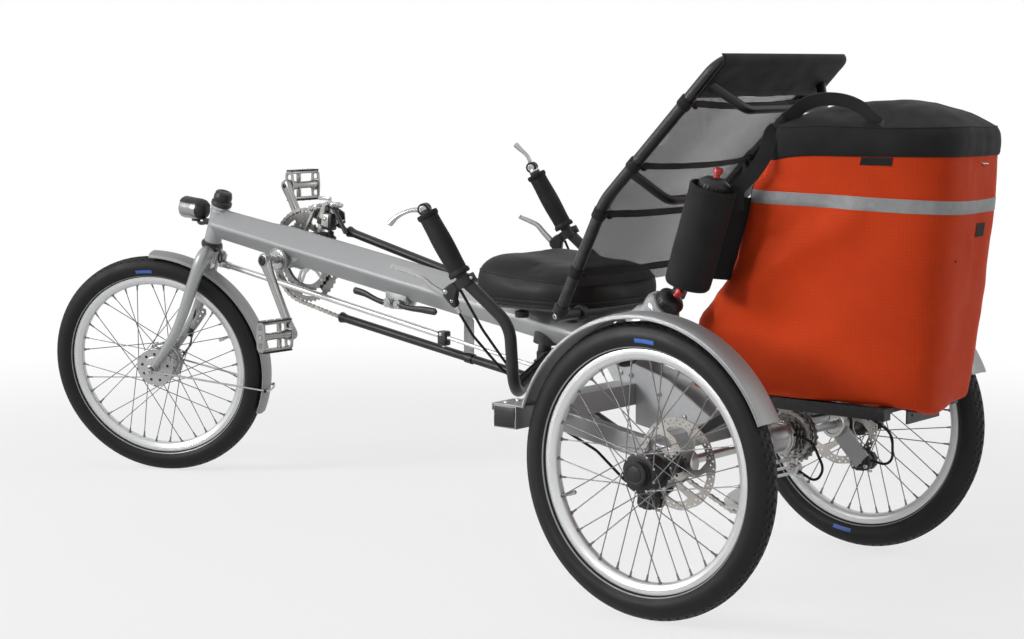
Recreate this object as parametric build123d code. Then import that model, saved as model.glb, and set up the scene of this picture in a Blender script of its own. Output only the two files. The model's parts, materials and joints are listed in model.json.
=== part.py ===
from build123d import *
import os
from math import asin, atan2, cos, degrees, hypot, radians, sin, sqrt, tan

# Recumbent delta tricycle: one steered front wheel, two rear wheels, long sloping main tube,
# under-seat U handlebar, mesh back rest and a tall luggage bag behind it.
# Frame: front faces -Y, rider's left is +X, +Z up. While building, y = 0 is the rear axle;
# every piece is then moved so that the origin is the middle of the whole footprint, on the ground.

# ---------------------------------------------------------------- driving dimensions, mm
clearance = 0.3            # gap between pieces of different bodies that sit close
shaft_clearance = 0.1      # radial gap at shafts and pins

# wheels
tyre_radius = 253.0
tyre_section = 25.0        # radius of the tyre's round section
tyre_wall = 5.0
rim_seat = 4.7             # how far the rim reaches into the tyre
rim_radius = tyre_radius - 2 * tyre_section + rim_seat
rim_half_width = 12.7
rim_depth = 19.0
rim_flange = 8.0           # depth of the rim's straight sides
rim_wall = 2.0
rim_bed_half = 7.0
spoke_radius = 1.0
spokes_per_side = 18
spoke_cross = 60.0         # degrees that a spoke leans round the wheel
nipple_offset = 3.0        # sideways from the rim's middle
nipple_stagger = 1.6
flange_thickness = 3.2
front_flange = 44.0
front_flange_x = 29.0
front_shell = 34.0
front_axle_radius = 9.0
rear_flange = 33.5
rear_outer_x = 22.0
rear_inner_x = -24.0
rear_shell = 24.0
rear_cap_radius = 22.0
rear_cap_length = 16.0
rear_barrel = 40.0         # hub barrel inboard of the inner flange
rear_barrel_radius = 20.0
track = 712.0

# steering head
head_angle = 70.0
head_base_y = -1567.6      # where the steering axis meets the height below
head_base_z = 233.6
fork_offset = 54.7
steer_at_rest = 27.1       # the front wheel is parked turned to the rider's left

# main tube: a square tube standing on its corner
tube_slope = 8.98          # degrees, falls towards the rear
tube_ref_y = -1300.0
tube_ref_z = 558.0
tube_side = 56.0
tube_wall = 2.6
boom_slide = 0.4           # gap at each face of the boom inside the tube
boom_side = tube_side - 2 * (tube_wall + boom_slide)
tube_corner = 9.0
boom_front_y = -1428.0
boom_rear_y = -800.0
tube_front_y = -922.0
tube_rear_y = -268.0
head_radius = 19.0
head_bore = 14.6
head_low = 314.0           # distances along the steering axis
head_high = 374.6 + boom_side / sqrt(2)      # its cap stays over the boom's top edge

# crank set
crank_y = -1214.0
crank_z = 514.0
crank_length = 170.0
crank_at_rest = 28.0       # degrees of the left crank from straight down, towards the rear
crank_x = 72.0             # middle of each arm
arm_thickness = 14.0       # at both ends of each arm
shell_radius = 21.0
spindle_radius = 8.5
shell_half = 34.0
big_ring_radius = 97.0
small_ring_radius = 76.0
ring_x = -55.0
ring_thickness = 3.0
pedal_width = 85.0
pedal_length = 68.0
pedal_height = 26.0
pedal_spindle = 4.5
chain_height = 9.0
chain_width = 7.0

# rear axle
axle_z = 253.0             # frame's height at the axle while building
axle_radius = 8.0
cassette_x = -88.0
cassette_half = 17.0
cassette_barrel = 20.0
sprocket_thickness = 2.0
rotor_radius = 80.0
rotor_x = 269.0
rotor_thickness = 2.0
rotor_inner = 62.0
rotor_hub = 25.0
rotor_arms = 6
rotor_arm_width = 9.0
arm_x = 250.0
arm_width = 26.0
arm_height = 38.0
beam_y = -287.0
beam_z = 318.0
beam_depth = 50.0
beam_height = 40.0
beam_end = 28.0            # outboard of each wheel's middle
beam_half = track / 2 + beam_end
member_y = -72.0
member_z = 272.0
member_side = 30.0
caliper_z = 187.0
caliper_half = 17.0
caliper_length = 44.0
caliper_height = 34.0
caliper_table = (
    # side, y of the middle
    (1, -52.0),
    (-1, 52.0),
)

# handlebar
bar_pivot_y = -505.0
pivot_gap = 2.8            # bar's pivot below the main tube's lowest edge
bar_radius = 11.0
bar_wall = 2.0
bar_fit = 0.05             # gap between the bar and what is clamped on it
grip_wall = 5.5
grip_radius = bar_radius + grip_wall
grip_length = 126.0
clip_wall = 6.0
clip_length = 18.0
bar_at_rest = 21.7         # the bar is turned with the fork, in the rod's ratio

# steering rod, from a lug behind the fork's crown to an arm under the handlebar's clamp
eye_half = 8.0             # half height of each eye
crown_eye_reach = 30.0     # sideways from the steering axis, to the rider's right
crown_eye_back = 24.0
crown_eye_s = 269.8        # along the steering axis
lug_gap = 4.0              # the fork's lug stays this far above the eye, on a small boss
arm_gap = 3.5              # the bar's arm above the rear eye, the linkage's open pivot
rod_reach = 36.0           # sideways from the bar's pivot
rod_forward = 12.0
rod_drop = 60.7

# seat
seat_half = 186.0          # middle of each side tube
seat_tube_radius = 11.0
rail_radius = 10.0
brace_radius = 8.5

# ---------------------------------------------------------------- frame vectors
head = Vector(0, cos(radians(head_angle)), sin(radians(head_angle)))
head_base = Vector(0, head_base_y, head_base_z)
head_axis = Axis(head_base, head)
slope = tan(radians(tube_slope))
tube_dir = Vector(0, cos(radians(tube_slope)), -sin(radians(tube_slope)))
tube_up = Vector(0, sin(radians(tube_slope)), cos(radians(tube_slope)))
tube_reach = tube_side / sqrt(2)      # from the centre line to the lowest and highest edge
parts = {}


def tube_z(y):
    """Height of the main tube's centre line at y."""
    return tube_ref_z - slope * (y - tube_ref_y)


# seat pan
pan_posts = (-540.0, -380.0)           # y of the posts that carry it on the tube
pan_sink = 7.6             # the tube's highest edge reaches this far past the pan's underside
pan_z = tube_z(pan_posts[0]) + tube_reach - pan_sink
bar_pivot = Vector(0, bar_pivot_y, tube_z(bar_pivot_y) - tube_reach - pivot_gap)
bar_axis = Axis(bar_pivot, tube_up)


def rod(start, end, radius):
    """A round bar from start to end."""
    start, end = Vector(*start), Vector(*end)
    line = end - start
    return Solid.make_cylinder(radius, line.length, Plane(start, z_dir=line))


def pipe(points, radius, bends, bore=0.0):
    """A round tube along straight runs joined by arcs."""
    path = FilletPolyline(*points, radius=bends) if len(points) > 2 else Polyline(*points)
    start = Plane(path @ 0, z_dir=path % 0)
    tube = sweep(start * Circle(radius), path=path)
    if bore:
        tube -= sweep(start * Circle(bore), path=path)
    return tube


def block(low, high):
    """An upright box between two corners."""
    size = [b - a for a, b in zip(low, high)]
    middle = [(a + b) / 2 for a, b in zip(low, high)]
    return Pos(*middle) * Box(*size)


def square_bar(start, end, wide, high):
    """A rectangular bar from start to end in a plane of constant x, or along x."""
    start, end = Vector(*start), Vector(*end)
    line = end - start
    side = Vector(1, 0, 0) if abs(line.X) < line.length / 2 else Vector(0, 1, 0)
    return extrude(Plane(start, x_dir=side, z_dir=line) * RectangleRounded(wide, high, 3.0),
                   amount=line.length)


def disc_x(x, y, z, radius, thickness, bore=0.0):
    """A disc whose axis runs along x, centred at x."""
    disc = Pos(x, y, z) * Rot(0, 90, 0) * Cylinder(radius, thickness)
    if bore:
        disc -= Pos(x, y, z) * Rot(0, 90, 0) * Cylinder(bore, thickness + 2)
    return disc


def side_plate(points, x, thickness):
    """A flat plate at constant x, outlined in (y, z)."""
    face = Plane(Vector(x - thickness / 2, 0, 0), x_dir=(0, 1, 0), z_dir=(1, 0, 0))
    return extrude(face * make_face(Polyline(*points, close=True)), amount=thickness)


# ---------------------------------------------------------------- wheels, axis along x at the origin
def wheel_tyre():
    outer = tyre_radius - tyre_section
    ring = Pos(0, outer) * Circle(tyre_section)
    ring -= Pos(0, rim_radius - 15) * Rectangle(2 * (rim_half_width + clearance), 40)
    ring -= Pos(0, outer) * Circle(tyre_section - tyre_wall)
    return revolve(ring, axis=Axis.X)


def wheel_rim():
    bottom = rim_radius - rim_depth
    shoulder = rim_radius - rim_flange
    inside = rim_half_width - rim_wall
    well = shoulder + rim_wall / 2
    outline = Polyline((-rim_half_width, rim_radius), (-rim_half_width, shoulder), (-rim_bed_half, bottom),
                       (rim_bed_half, bottom), (rim_half_width, shoulder), (rim_half_width, rim_radius),
                       (inside, rim_radius), (inside, well), (-inside, well), (-inside, rim_radius),
                       close=True)
    return revolve(make_face(outline), axis=Axis.X)


def wheel_spokes(flange_radius, left_x, right_x):
    """Spokes laced over three others; heads alternate in and out so that no two touch."""
    spokes = []
    inner = rim_radius - rim_depth - clearance
    count = spokes_per_side
    for flange_x, side in ((left_x, 1), (right_x, -1)):
        phase = 0 if side > 0 else 180 / count
        for i in range(count):
            lean = 1 if i % 2 else -1
            hub_angle = radians(phase + i * 360 / count)
            rim_angle = hub_angle + lean * radians(spoke_cross)
            head_x = flange_x + side * lean * (flange_thickness / 2 + spoke_radius + 0.7)
            start = (head_x, flange_radius * cos(hub_angle), flange_radius * sin(hub_angle))
            end_x = side * (nipple_offset + lean * nipple_stagger)
            end = (end_x, inner * cos(rim_angle), inner * sin(rim_angle))
            spokes.append(rod(start, end, spoke_radius))
    return Compound(spokes)


def place_rear(piece, side):
    return Pos(side * track / 2, 0, axle_z) * (Rot(0, 0, 180) * piece if side < 0 else piece)


forward = Vector(0, -sin(radians(head_angle)), cos(radians(head_angle)))
front_centre = head_base + forward * fork_offset


def place_front(piece):
    return (Pos(*front_centre) * piece).rotate(head_axis, steer_at_rest)


def wheel_hub(flange_radius, shell_radius, outer_x, inner_x):
    """Two spoke flanges on a round shell."""
    hub = disc_x((outer_x + inner_x) / 2, 0, 0, shell_radius, outer_x - inner_x)
    for x in (outer_x, inner_x):
        hub += disc_x(x, 0, 0, flange_radius, flange_thickness)
    return hub


front_hub = wheel_hub(front_flange, front_shell, front_flange_x, -front_flange_x)
front_hub += disc_x(0, 0, 0, front_axle_radius, 2 * front_flange_x + 20)
parts["front_tyre"] = place_front(wheel_tyre())
parts["front_rim"] = place_front(wheel_rim())
parts["front_spokes"] = place_front(wheel_spokes(front_flange - 1, front_flange_x, -front_flange_x))
parts["front_hub"] = place_front(front_hub)

barrel_end = rear_inner_x - rear_barrel
rear_hub = wheel_hub(rear_flange, rear_shell, rear_outer_x, rear_inner_x)
rear_hub += disc_x(rear_outer_x + rear_cap_length / 2, 0, 0, rear_cap_radius, rear_cap_length)
rear_hub += disc_x(rear_inner_x - rear_barrel / 2, 0, 0, rear_barrel_radius, rear_barrel)
shaft_ends = {"left": 12.0, "right": 47.0}     # inner end of each half shaft, from the middle
for word, side in (("left", 1), ("right", -1)):
    local_rotor = rotor_x - track / 2
    rotor = disc_x(local_rotor, 0, 0, rotor_radius, rotor_thickness, rotor_inner)
    spoke_mid = (rotor_inner + rotor_hub) / 2 + 0.5
    for i in range(rotor_arms):
        spoke = Pos(0, 0, spoke_mid) * Box(rotor_thickness, rotor_arm_width, rotor_inner - rotor_hub + 7)
        rotor += Pos(local_rotor, 0, 0) * Rot(i * 360 / rotor_arms, 0, 0) * spoke
    rotor += disc_x(local_rotor, 0, 0, rotor_hub, rotor_thickness)
    length = track / 2 + barrel_end - shaft_ends[word]
    shaft = disc_x(barrel_end - length / 2, 0, 0, axle_radius, length)
    rotor -= disc_x(local_rotor, 0, 0, axle_radius, 8)
    parts[word + "_tyre"] = place_rear(wheel_tyre(), side)
    parts[word + "_rim"] = place_rear(wheel_rim(), side)
    parts[word + "_spokes"] = place_rear(wheel_spokes(rear_flange - 1, rear_outer_x, rear_inner_x), side)
    parts[word + "_hub"] = place_rear(rear_hub + shaft, side)
    parts[word + "_brake_rotor"] = place_rear(rotor, side)

# ---------------------------------------------------------------- main tube and boom
def corner_bar(front_y, rear_y, side, corner=tube_corner):
    """Solid square bar on its corner, along the falling centre line."""
    start = Vector(0, front_y, tube_z(front_y))
    length = (rear_y - front_y) / cos(radians(tube_slope))
    plane = Plane(start, x_dir=(1, 0, 0), z_dir=tube_dir)
    return extrude(plane * RectangleRounded(side, side, corner, rotation=45), amount=length)


def corner_tube(front_y, rear_y, side):
    bore = corner_bar(front_y, rear_y, side - 2 * tube_wall, tube_corner - tube_wall)
    return corner_bar(front_y, rear_y, side) - bore


head_tube = rod(head_base + head * head_low, head_base + head * head_high, head_radius)
steerer_bore = rod(head_base + head * (head_low - 5), head_base + head * (head_high + 5), head_bore)
shell = disc_x(0, crank_y, crank_z, shell_radius, 2 * shell_half)
shell_bore = disc_x(0, crank_y, crank_z, spindle_radius + shaft_clearance, 2 * shell_half + 4)
boom = corner_tube(boom_front_y, boom_rear_y, boom_side)
parts["front_boom"] = boom + head_tube + shell - steerer_bore - shell_bore

tube = corner_tube(tube_front_y, tube_rear_y, tube_side)
lug_x, lug_thickness, lug_length, lug_height = 8.5, 11.0, 60.0, 42.0
lug_low = tube_z(tube_front_y + lug_length / 2) - tube_reach - 36.4
for x in (-lug_x, lug_x):
    lug = block((x - lug_thickness / 2, tube_front_y + 2, lug_low),
                (x + lug_thickness / 2, tube_front_y + 2 + lug_length, lug_low + lug_height))
    tube += lug - corner_bar(tube_front_y - 20, tube_rear_y, tube_side - tube_wall)

# flat strip under the tube that carries the lower chain tube
strip = ((-18, 451), (-57, 408), (-57, 342), (-60, 342), (-60, 409.5), (-22, 455.5))
strip_front, strip_width = -739.0, 26.0
strip_plane = Plane(Vector(0, strip_front, 0), x_dir=(1, 0, 0), z_dir=(0, -1, 0))
tube += extrude(strip_plane * make_face(Polyline(*strip, close=True)), amount=strip_width)
parts["main_tube"] = tube

lever_table = (
    # y of the pin, direction of the lever along y, length
    (tube_front_y + 16, -1, 80.0),
    (tube_front_y + 48, 1, 84.0),
)
pin_radius, pin_length, pin_rise = 4.0, 48.0, 12.0
lever_x, lever_radius = 26.0, 5.0
clamp_levers = []
for y, way, length in lever_table:
    z = lug_low + pin_rise
    pin = disc_x(2, y, z, pin_radius, pin_length)
    lever_end = (lever_x, y + way * length, z + 10 - way * 12)
    clamp_levers.append(pin + rod((lever_x, y, z), lever_end, lever_radius))
    parts["main_tube"] -= disc_x(0, y, z, pin_radius + bar_fit, pin_length + 12)
parts["clamp_levers"] = Compound(clamp_levers)

# ---------------------------------------------------------------- rear frame
beam = block((-beam_half, beam_y - beam_depth / 2, beam_z - beam_height / 2),
             (beam_half, beam_y + beam_depth / 2, beam_z + beam_height / 2))
beam_back = beam_y + beam_depth / 2
rear_frame = beam
carrier_radius = 25.0
for side in (1, -1):
    x = side * arm_x
    rear_frame += square_bar((x, beam_back - 6, beam_z - 18), (x, -8, axle_z + 4), arm_width, arm_height)
    rear_frame += disc_x(x, 0, axle_z, carrier_radius, arm_width - 4)
rear_frame += block((-arm_x, member_y - member_side / 2, member_z - member_side / 2),
                    (arm_x, member_y + member_side / 2, member_z + member_side / 2))
for side, y in caliper_table:
    tab = ((-14 if y > 0 else 14, axle_z - 12), (14 if y > 0 else -14, axle_z + 12),
           (y + (20 if y > 0 else -20), caliper_z + 14), (y - (4 if y > 0 else -4), caliper_z - 12))
    rear_frame += side_plate(tab, side * (rotor_x - caliper_half - 3 - clearance), 6)
rear_frame -= disc_x(0, 0, axle_z, axle_radius + shaft_clearance, 2 * arm_x + 60)
parts["rear_frame"] = rear_frame

gusset_x = 30.0
gusset_thickness = 5.0
member_front = member_y - member_side / 2 - clearance
gusset_front = -345.0
gusset_drop = tube_reach - gusset_x + gusset_thickness / 2 + 7.9      # top edge below the centre line
gusset = ((gusset_front, tube_z(gusset_front) - gusset_drop - 4),
          (tube_rear_y, tube_z(tube_rear_y) - gusset_drop), (-190, 352),
          (member_front, member_z + 16), (member_front, member_z - 14), (-190, 250),
          (beam_back + clearance, 262),
          (beam_back + clearance, beam_z + beam_height / 2 + clearance),
          (beam_y - 26, beam_z + beam_height / 2 + clearance))
plates = [side_plate(gusset, side * gusset_x, gusset_thickness) for side in (1, -1)]
parts["frame_gussets"] = Compound(plates)

bearing_low, bearing_high, bearing_radius = -66.0, 30.0, 27.0
bearing = disc_x((bearing_low + bearing_high) / 2, 0, axle_z, bearing_radius, bearing_high - bearing_low)
bearing += block((bearing_low + 8, member_y + member_side / 2, axle_z - 14),
                 (bearing_high - 8, -10, axle_z + 14))
bearing -= disc_x(0, 0, axle_z, axle_radius + shaft_clearance, 300)
parts["centre_bearing"] = bearing

# fenders over the rear wheels
fender_gap = 13.0
fender_radius = tyre_radius + fender_gap
fender_wall = 2.5
fender_half = 29.0
fender_rear = 24.0         # degrees, 0 is straight back, 90 is up
foot_z = beam_z + beam_height / 2 + clearance
fender_front = 180 - degrees(asin((foot_z + fender_wall / 2 - axle_z) / fender_radius))


def arc_band(radius, wall, half, low, high):
    """Band of a cylinder about the x axis, from the low to the high angle."""
    ring = Circle(radius + wall) - Circle(radius)
    wedge = make_face(Polyline((0, 0), (600 * cos(radians(low)), 600 * sin(radians(low))),
                               (600 * cos(radians((low + high) / 2)), 600 * sin(radians((low + high) / 2))),
                               (600 * cos(radians(high)), 600 * sin(radians(high))), close=True))
    face = Plane(Vector(-half, 0, 0), x_dir=(0, 1, 0), z_dir=(1, 0, 0)) * (ring & wedge)
    return extrude(face, amount=2 * half)


for word, side in (("left", 1), ("right", -1)):
    x = side * track / 2
    fender = Pos(x, 0, axle_z) * arc_band(fender_radius, fender_wall, fender_half, fender_rear, fender_front)
    foot_y = -(fender_radius + fender_wall) * cos(radians(180 - fender_front)) + 4
    foot = block((x - fender_half, beam_y - beam_depth / 2 - 4, foot_z),
                 (x + fender_half, foot_y, foot_z + fender_wall))
    parts[word + "_fender"] = fender + foot

# ---------------------------------------------------------------- fork, turned as one about the head
crown_s = 297.0            # crown's middle, along the steering axis
blade_x = 48.0
blade_radius = 14.0
knee_radius = 11.0
tip_radius = 8.0
knee_s, knee_forward = 110.0, 16.0
crown_width, crown_height = 38.0, 22.0
steerer_radius = 14.2


def turn_fork(piece):
    return piece.rotate(head_axis, steer_at_rest)


crown_mid = head_base + head * crown_s
crown_half = blade_x + blade_radius
crown = extrude(Plane(crown_mid - Vector(crown_half, 0, 0), x_dir=forward, z_dir=(1, 0, 0))
                * RectangleRounded(crown_width, crown_height, 5), amount=2 * crown_half)
steerer = rod(crown_mid, head_base + head * (head_high + 16), steerer_radius)
race = rod(head_base + head * (crown_s + 8), head_base + head * (head_low - clearance), head_radius + 1)
fork = crown + steerer + race
for side in (1, -1):
    top = crown_mid + Vector(side * blade_x, 0, 0)
    knee = head_base + head * knee_s + forward * knee_forward + Vector(side * blade_x, 0, 0)
    tip = front_centre + Vector(side * blade_x, 0, 0)
    upper = Plane(top, x_dir=(1, 0, 0), z_dir=knee - top)
    middle = Plane(knee, x_dir=(1, 0, 0), z_dir=knee - top)
    fork += loft([upper * Circle(blade_radius), middle * Circle(knee_radius)])
    fork += loft([Plane(knee, x_dir=(1, 0, 0), z_dir=tip - knee) * Circle(knee_radius),
                  Plane(tip, x_dir=(1, 0, 0), z_dir=tip - knee) * Circle(tip_radius)])
    fork += Pos(*knee) * Sphere(knee_radius)
    fork += disc_x(tip.X, tip.Y, tip.Z, 12, 8)
crown_eye = head_base + head * crown_eye_s - forward * crown_eye_back - Vector(crown_eye_reach, 0, 0)
boss_start = crown_eye + head * (eye_half + clearance)
lug_start = crown_eye + head * (eye_half + lug_gap)
eye_lug = Plane(lug_start + forward * 8, x_dir=(1, 0, 0), z_dir=head) * Rectangle(16, 30)
fork += rod(boss_start, lug_start + head, 7)
fork += extrude(eye_lug, amount=crown_s - 6 - crown_eye_s - eye_half - lug_gap)
parts["fork"] = turn_fork(fork)

cap_rim, cap_top = 12.0, 34.0
cap = rod(head_base + head * (head_high + clearance), head_base + head * (head_high + cap_rim), head_radius + 2)
cap += rod(head_base + head * (head_high + cap_rim), head_base + head * (head_high + cap_top), 16.5)
cap_bore = head_high + 16 + clearance
cap -= rod(head_base + head * head_high, head_base + head * cap_bore, steerer_radius + bar_fit)
parts["steering_cap"] = turn_fork(cap)

front_fender_gap = 9.0
front_fender_radius = tyre_radius + front_fender_gap
front_fender_half = 27.0
front_fender_low = -14.0
front_fender_high = 122.0
stay_radius, stay_end = 2.5, -20.0
fender = arc_band(front_fender_radius, fender_wall, front_fender_half, front_fender_low, front_fender_high)
fender = Pos(*front_centre) * fender
over_tyre = sqrt((front_fender_radius + 1) ** 2 - fork_offset ** 2)
crown_under = crown_s - crown_height / 2 - clearance
fender += square_bar(head_base + head * over_tyre, head_base + head * crown_under, 24, 8)
for side in (1, -1):
    eye = front_centre + Vector(side * (blade_x + tip_radius + clearance + 2.5), 0, 0)
    edge = front_centre + Vector(side * (front_fender_half + 2), front_fender_radius, stay_end)
    fender += rod(eye, edge, stay_radius) + disc_x(eye.X, eye.Y, eye.Z, 5, 5)
    fender += disc_x(edge.X - side * 1.5, edge.Y, edge.Z, 5, 9)
parts["front_fender"] = turn_fork(fender)

# ---------------------------------------------------------------- handlebar, turned about its pivot
def turn_bar(piece):
    return piece.rotate(bar_axis, bar_at_rest)


bar_low_z = 360.0
bar_table = (
    # x, y, z of each corner of the left half, from the middle out to the grip's end
    (0.0, -497.0, bar_low_z),
    (322.0, -464.0, 354.0),
    (324.0, -468.0, 484.0),
    (325.0, -556.0, 569.0),
    (325.0, -622.0, 690.0),
)
bar_line = [(-x, y, z) for x, y, z in reversed(bar_table[1:])] + list(bar_table)
bar_bends = [60, 70, 46, 900, 46, 70, 60]
bar_space = pipe(bar_line, bar_radius + bar_fit, bar_bends)
clamp_width, clamp_side = 46.0, 34.0
clamp = Pos(0, bar_table[0][1] - 2, bar_low_z) * Box(clamp_width, clamp_side, clamp_side)
stem = rod(bar_pivot - tube_up * 20, bar_pivot, 13)
bar_eye = bar_pivot + tube_up * -rod_drop - tube_dir * rod_forward - Vector(rod_reach, 0, 0)
arm_low = bar_eye.Z + eye_half + arm_gap
arm = block((-rod_reach - 9, bar_eye.Y - 9, arm_low), (-18, bar_table[0][1] + 4, arm_low + 8))
parts["handlebar_clamp"] = turn_bar(clamp + stem + arm - bar_space)
parts["handlebar"] = turn_bar(pipe(bar_line, bar_radius, bar_bends, bore=bar_radius - bar_wall))

cable_radius = 2.5
low_bar_top = bar_low_z + bar_radius + cable_radius - 0.1      # a cable's middle where it rests on the bar
clamp_face = clamp_width / 2 + 0.4
lever_reach, body_reach, body_drop, shifter_reach = 38.0, 14.0, 34.0, 44.0
grips = []
shifters = []
brake_levers = []
bar_cables = []
for side in (1, -1):
    low = Vector(side * bar_table[3][0], *bar_table[3][1:])
    high = Vector(side * bar_table[4][0], *bar_table[4][1:])
    along = (high - low).normalized()
    across = Vector(0, -along.Z, along.Y)
    grip = Solid.make_cylinder(grip_radius, grip_length, Plane(low + along * 12, z_dir=along))
    grips.append(grip - rod(low - along * 8, high + along * 12, bar_radius + bar_fit))
    barrel = high + along * (bar_radius + clearance)
    shifter = rod(barrel - Vector(10, 0, 0), barrel + Vector(10, 0, 0), bar_radius)
    shifters.append(shifter + rod(barrel, barrel + across * shifter_reach - along * 14, 5))
    clip = low - along * 9
    ring = rod(clip - along * (clip_length / 2), clip + along * (clip_length / 2), bar_radius + clip_wall)
    pivot = clip + across * lever_reach
    body = rod(clip + across * body_reach, pivot, 8) + rod(pivot, pivot - along * body_drop, 9)
    blade = rod(pivot, pivot + across * 26 + along * 40, 4.5)
    blade += rod(pivot + across * 26 + along * 40, pivot + across * 46 + along * 92, 4.5)
    brake_levers.append(ring + body + blade - bar_space)
    # brake and shift cables, each resting on the low bar until it reaches the clamp
    brake_start = pivot - along * (body_drop + 3 * clearance)
    shift_start = clip - along * (clip_length / 2 + 3 * clearance) + across * body_reach
    cable_table = (
        (brake_start, (318, -541, 462), (300, -496, 400), (262, -481, low_bar_top - 4.4),
         (clamp_face, -496.0, low_bar_top)),
        (shift_start, (312, -524, 472), (303, -486, 412), (258, -474, low_bar_top - 4.0),
         (clamp_face, -490.0, low_bar_top)),
    )
    for start, *corners in cable_table:
        points = [tuple(start)] + [(side * x, y, z) for x, y, z in corners]
        bar_cables.append(pipe(points, cable_radius, [60, 50, 24]))
parts["grips"] = turn_bar(Compound(grips))
parts["shifters"] = turn_bar(Compound(shifters))
parts["brake_levers"] = turn_bar(Compound(brake_levers))
parts["bar_cables"] = turn_bar(Compound(bar_cables))

# pivot housing that hangs the bar from the main tube
housing = rod(bar_pivot + tube_up * clearance, bar_pivot + tube_up * 40, 24.0)
housing -= corner_bar(tube_front_y, tube_rear_y, tube_side + 2 * clearance)
parts["bar_pivot_housing"] = housing

# ---------------------------------------------------------------- steering rod
def turned(point, axis, angle):
    """A point turned about an axis."""
    return Vertex(*point).rotate(axis, angle).center()


rod_front = turned(crown_eye, head_axis, steer_at_rest)
rod_rear = turned(bar_eye, bar_axis, bar_at_rest)
run = rod_rear - rod_front
rod_joint = rod_front + run * 0.66     # the thick front part ends in a clamp here
clamp_reach = run.normalized() * 12
steering_rod = rod(rod_front, rod_joint, 6.5) + rod(rod_joint, rod_rear, 4.0)
steering_rod += rod(rod_joint - clamp_reach, rod_joint + clamp_reach, 9)
steering_rod += rod(rod_front - head * eye_half, rod_front + head * eye_half, eye_half)
steering_rod += rod(rod_rear - tube_up * eye_half, rod_rear + tube_up * (eye_half - 1), eye_half)
parts["steering_rod"] = steering_rod

# ---------------------------------------------------------------- cranks, rings and pedals
crank_way = Vector(0, sin(radians(crank_at_rest)), -cos(radians(crank_at_rest)))
ring_inner, ring_step, ring_arms = 60.0, 6.0, 5
rings = disc_x(ring_x, crank_y, crank_z, big_ring_radius, ring_thickness, ring_inner)
rings += disc_x(ring_x + ring_step, crank_y, crank_z, small_ring_radius, ring_thickness, ring_inner)
for i in range(ring_arms):
    spider = Pos(0, 0, 40) * Box(ring_step + ring_thickness, 14, ring_inner)
    rings += Pos(ring_x + ring_step / 2, crank_y, crank_z) * Rot(i * 360 / ring_arms, 0, 0) * spider
hub_inner = ring_x + ring_step + ring_thickness / 2
hub_outer = -(crank_x - arm_thickness / 2 - clearance)
rings += disc_x((hub_inner + hub_outer) / 2, crank_y, crank_z, 18, hub_inner - hub_outer)
rings -= disc_x(ring_x, crank_y, crank_z, spindle_radius + shaft_clearance, 60)
parts["chainrings"] = rings
arms = disc_x(0, crank_y, crank_z, spindle_radius, 2 * crank_x)
for side in (1, -1):
    start = Vector(side * crank_x, crank_y, crank_z)
    end = start + crank_way * (side * crank_length)
    arms += square_bar(start, end, 13, 24)
    arms += disc_x(start.X, start.Y, start.Z, 16, arm_thickness)
    arms += disc_x(end.X, end.Y, end.Z, 13, arm_thickness)
    spindle_x = side * (crank_x + arm_thickness / 2 + clearance + pedal_width / 2)
    arms += disc_x(side * (crank_x + 5 + pedal_width / 2), end.Y, end.Z, pedal_spindle, pedal_width)
    pedal = Pos(spindle_x, end.Y, end.Z) * Box(pedal_width, pedal_height, pedal_length)
    for z in (-20, 20):
        pedal -= Pos(spindle_x, end.Y, end.Z + z) * Box(pedal_width - 22, 60, 14)
    pedal -= disc_x(spindle_x, end.Y, end.Z, pedal_spindle + shaft_clearance, pedal_width + 2)
    parts[("left" if side > 0 else "right") + "_pedal"] = pedal
parts["crank_arms"] = arms

# ---------------------------------------------------------------- chain, cassette and derailleurs
cassette_rows = ((-14, 52), (-9, 47), (-4, 42), (1, 37), (6, 32), (11, 28))
cassette = disc_x(cassette_x, 0, axle_z, cassette_barrel, 2 * cassette_half)
for dx, radius in cassette_rows:
    cassette += disc_x(cassette_x + dx, 0, axle_z, radius, sprocket_thickness)
cassette -= disc_x(cassette_x, 0, axle_z, axle_radius + shaft_clearance, 80)
parts["cassette"] = cassette

chain_gap = 1.0
idler_radius = 15.0
running = chain_gap + chain_height / 2      # from a wheel's rim to the middle of the chain
running_dx, gear_radius = cassette_rows[3]  # the sprocket that the chain runs on
sprocket_x = cassette_x + running_dx
chain_table = (
    # x, y, z, radius of the chain's middle line, turn: -1 clockwise and 1 anticlockwise seen from the left
    (ring_x, crank_y, crank_z, big_ring_radius + running, -1),
    (-54.0, -1090.0, 576.0, 0.0, 0),
    (-60.0, -791.0, 503.0, 0.0, 0),
    (sprocket_x, 0.0, axle_z, gear_radius + running, -1),
    (sprocket_x, -58.0, 168.0, idler_radius + running, 1),
    (sprocket_x, -116.0, 114.0, idler_radius + running, -1),
    (-66.0, -540.0, 297.0, 0.0, 0),
    (-55.0, -1128.0, 391.0, 0.0, 0),
)


def chain_run(first, second):
    """The straight run between two rows of the table, tangent to both circles."""
    gap = Vector(0, second[1] - first[1], second[2] - first[2])
    lift = second[3] * second[4] - first[3] * first[4]
    angle = atan2(gap.Z, gap.Y) - asin(lift / gap.length)
    side = Vector(0, -sin(angle), cos(angle))
    start = Vector(*first[:3]) - side * (first[3] * first[4])
    end = Vector(*second[:3]) - side * (second[3] * second[4])
    return start, end


def straight_link(start, end):
    """A straight chain run, a thin bar."""
    line = end - start
    plane = Plane(start, x_dir=(1, 0, 0), z_dir=line)
    return extrude(plane * Rectangle(chain_width, chain_height), amount=line.length)


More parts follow.
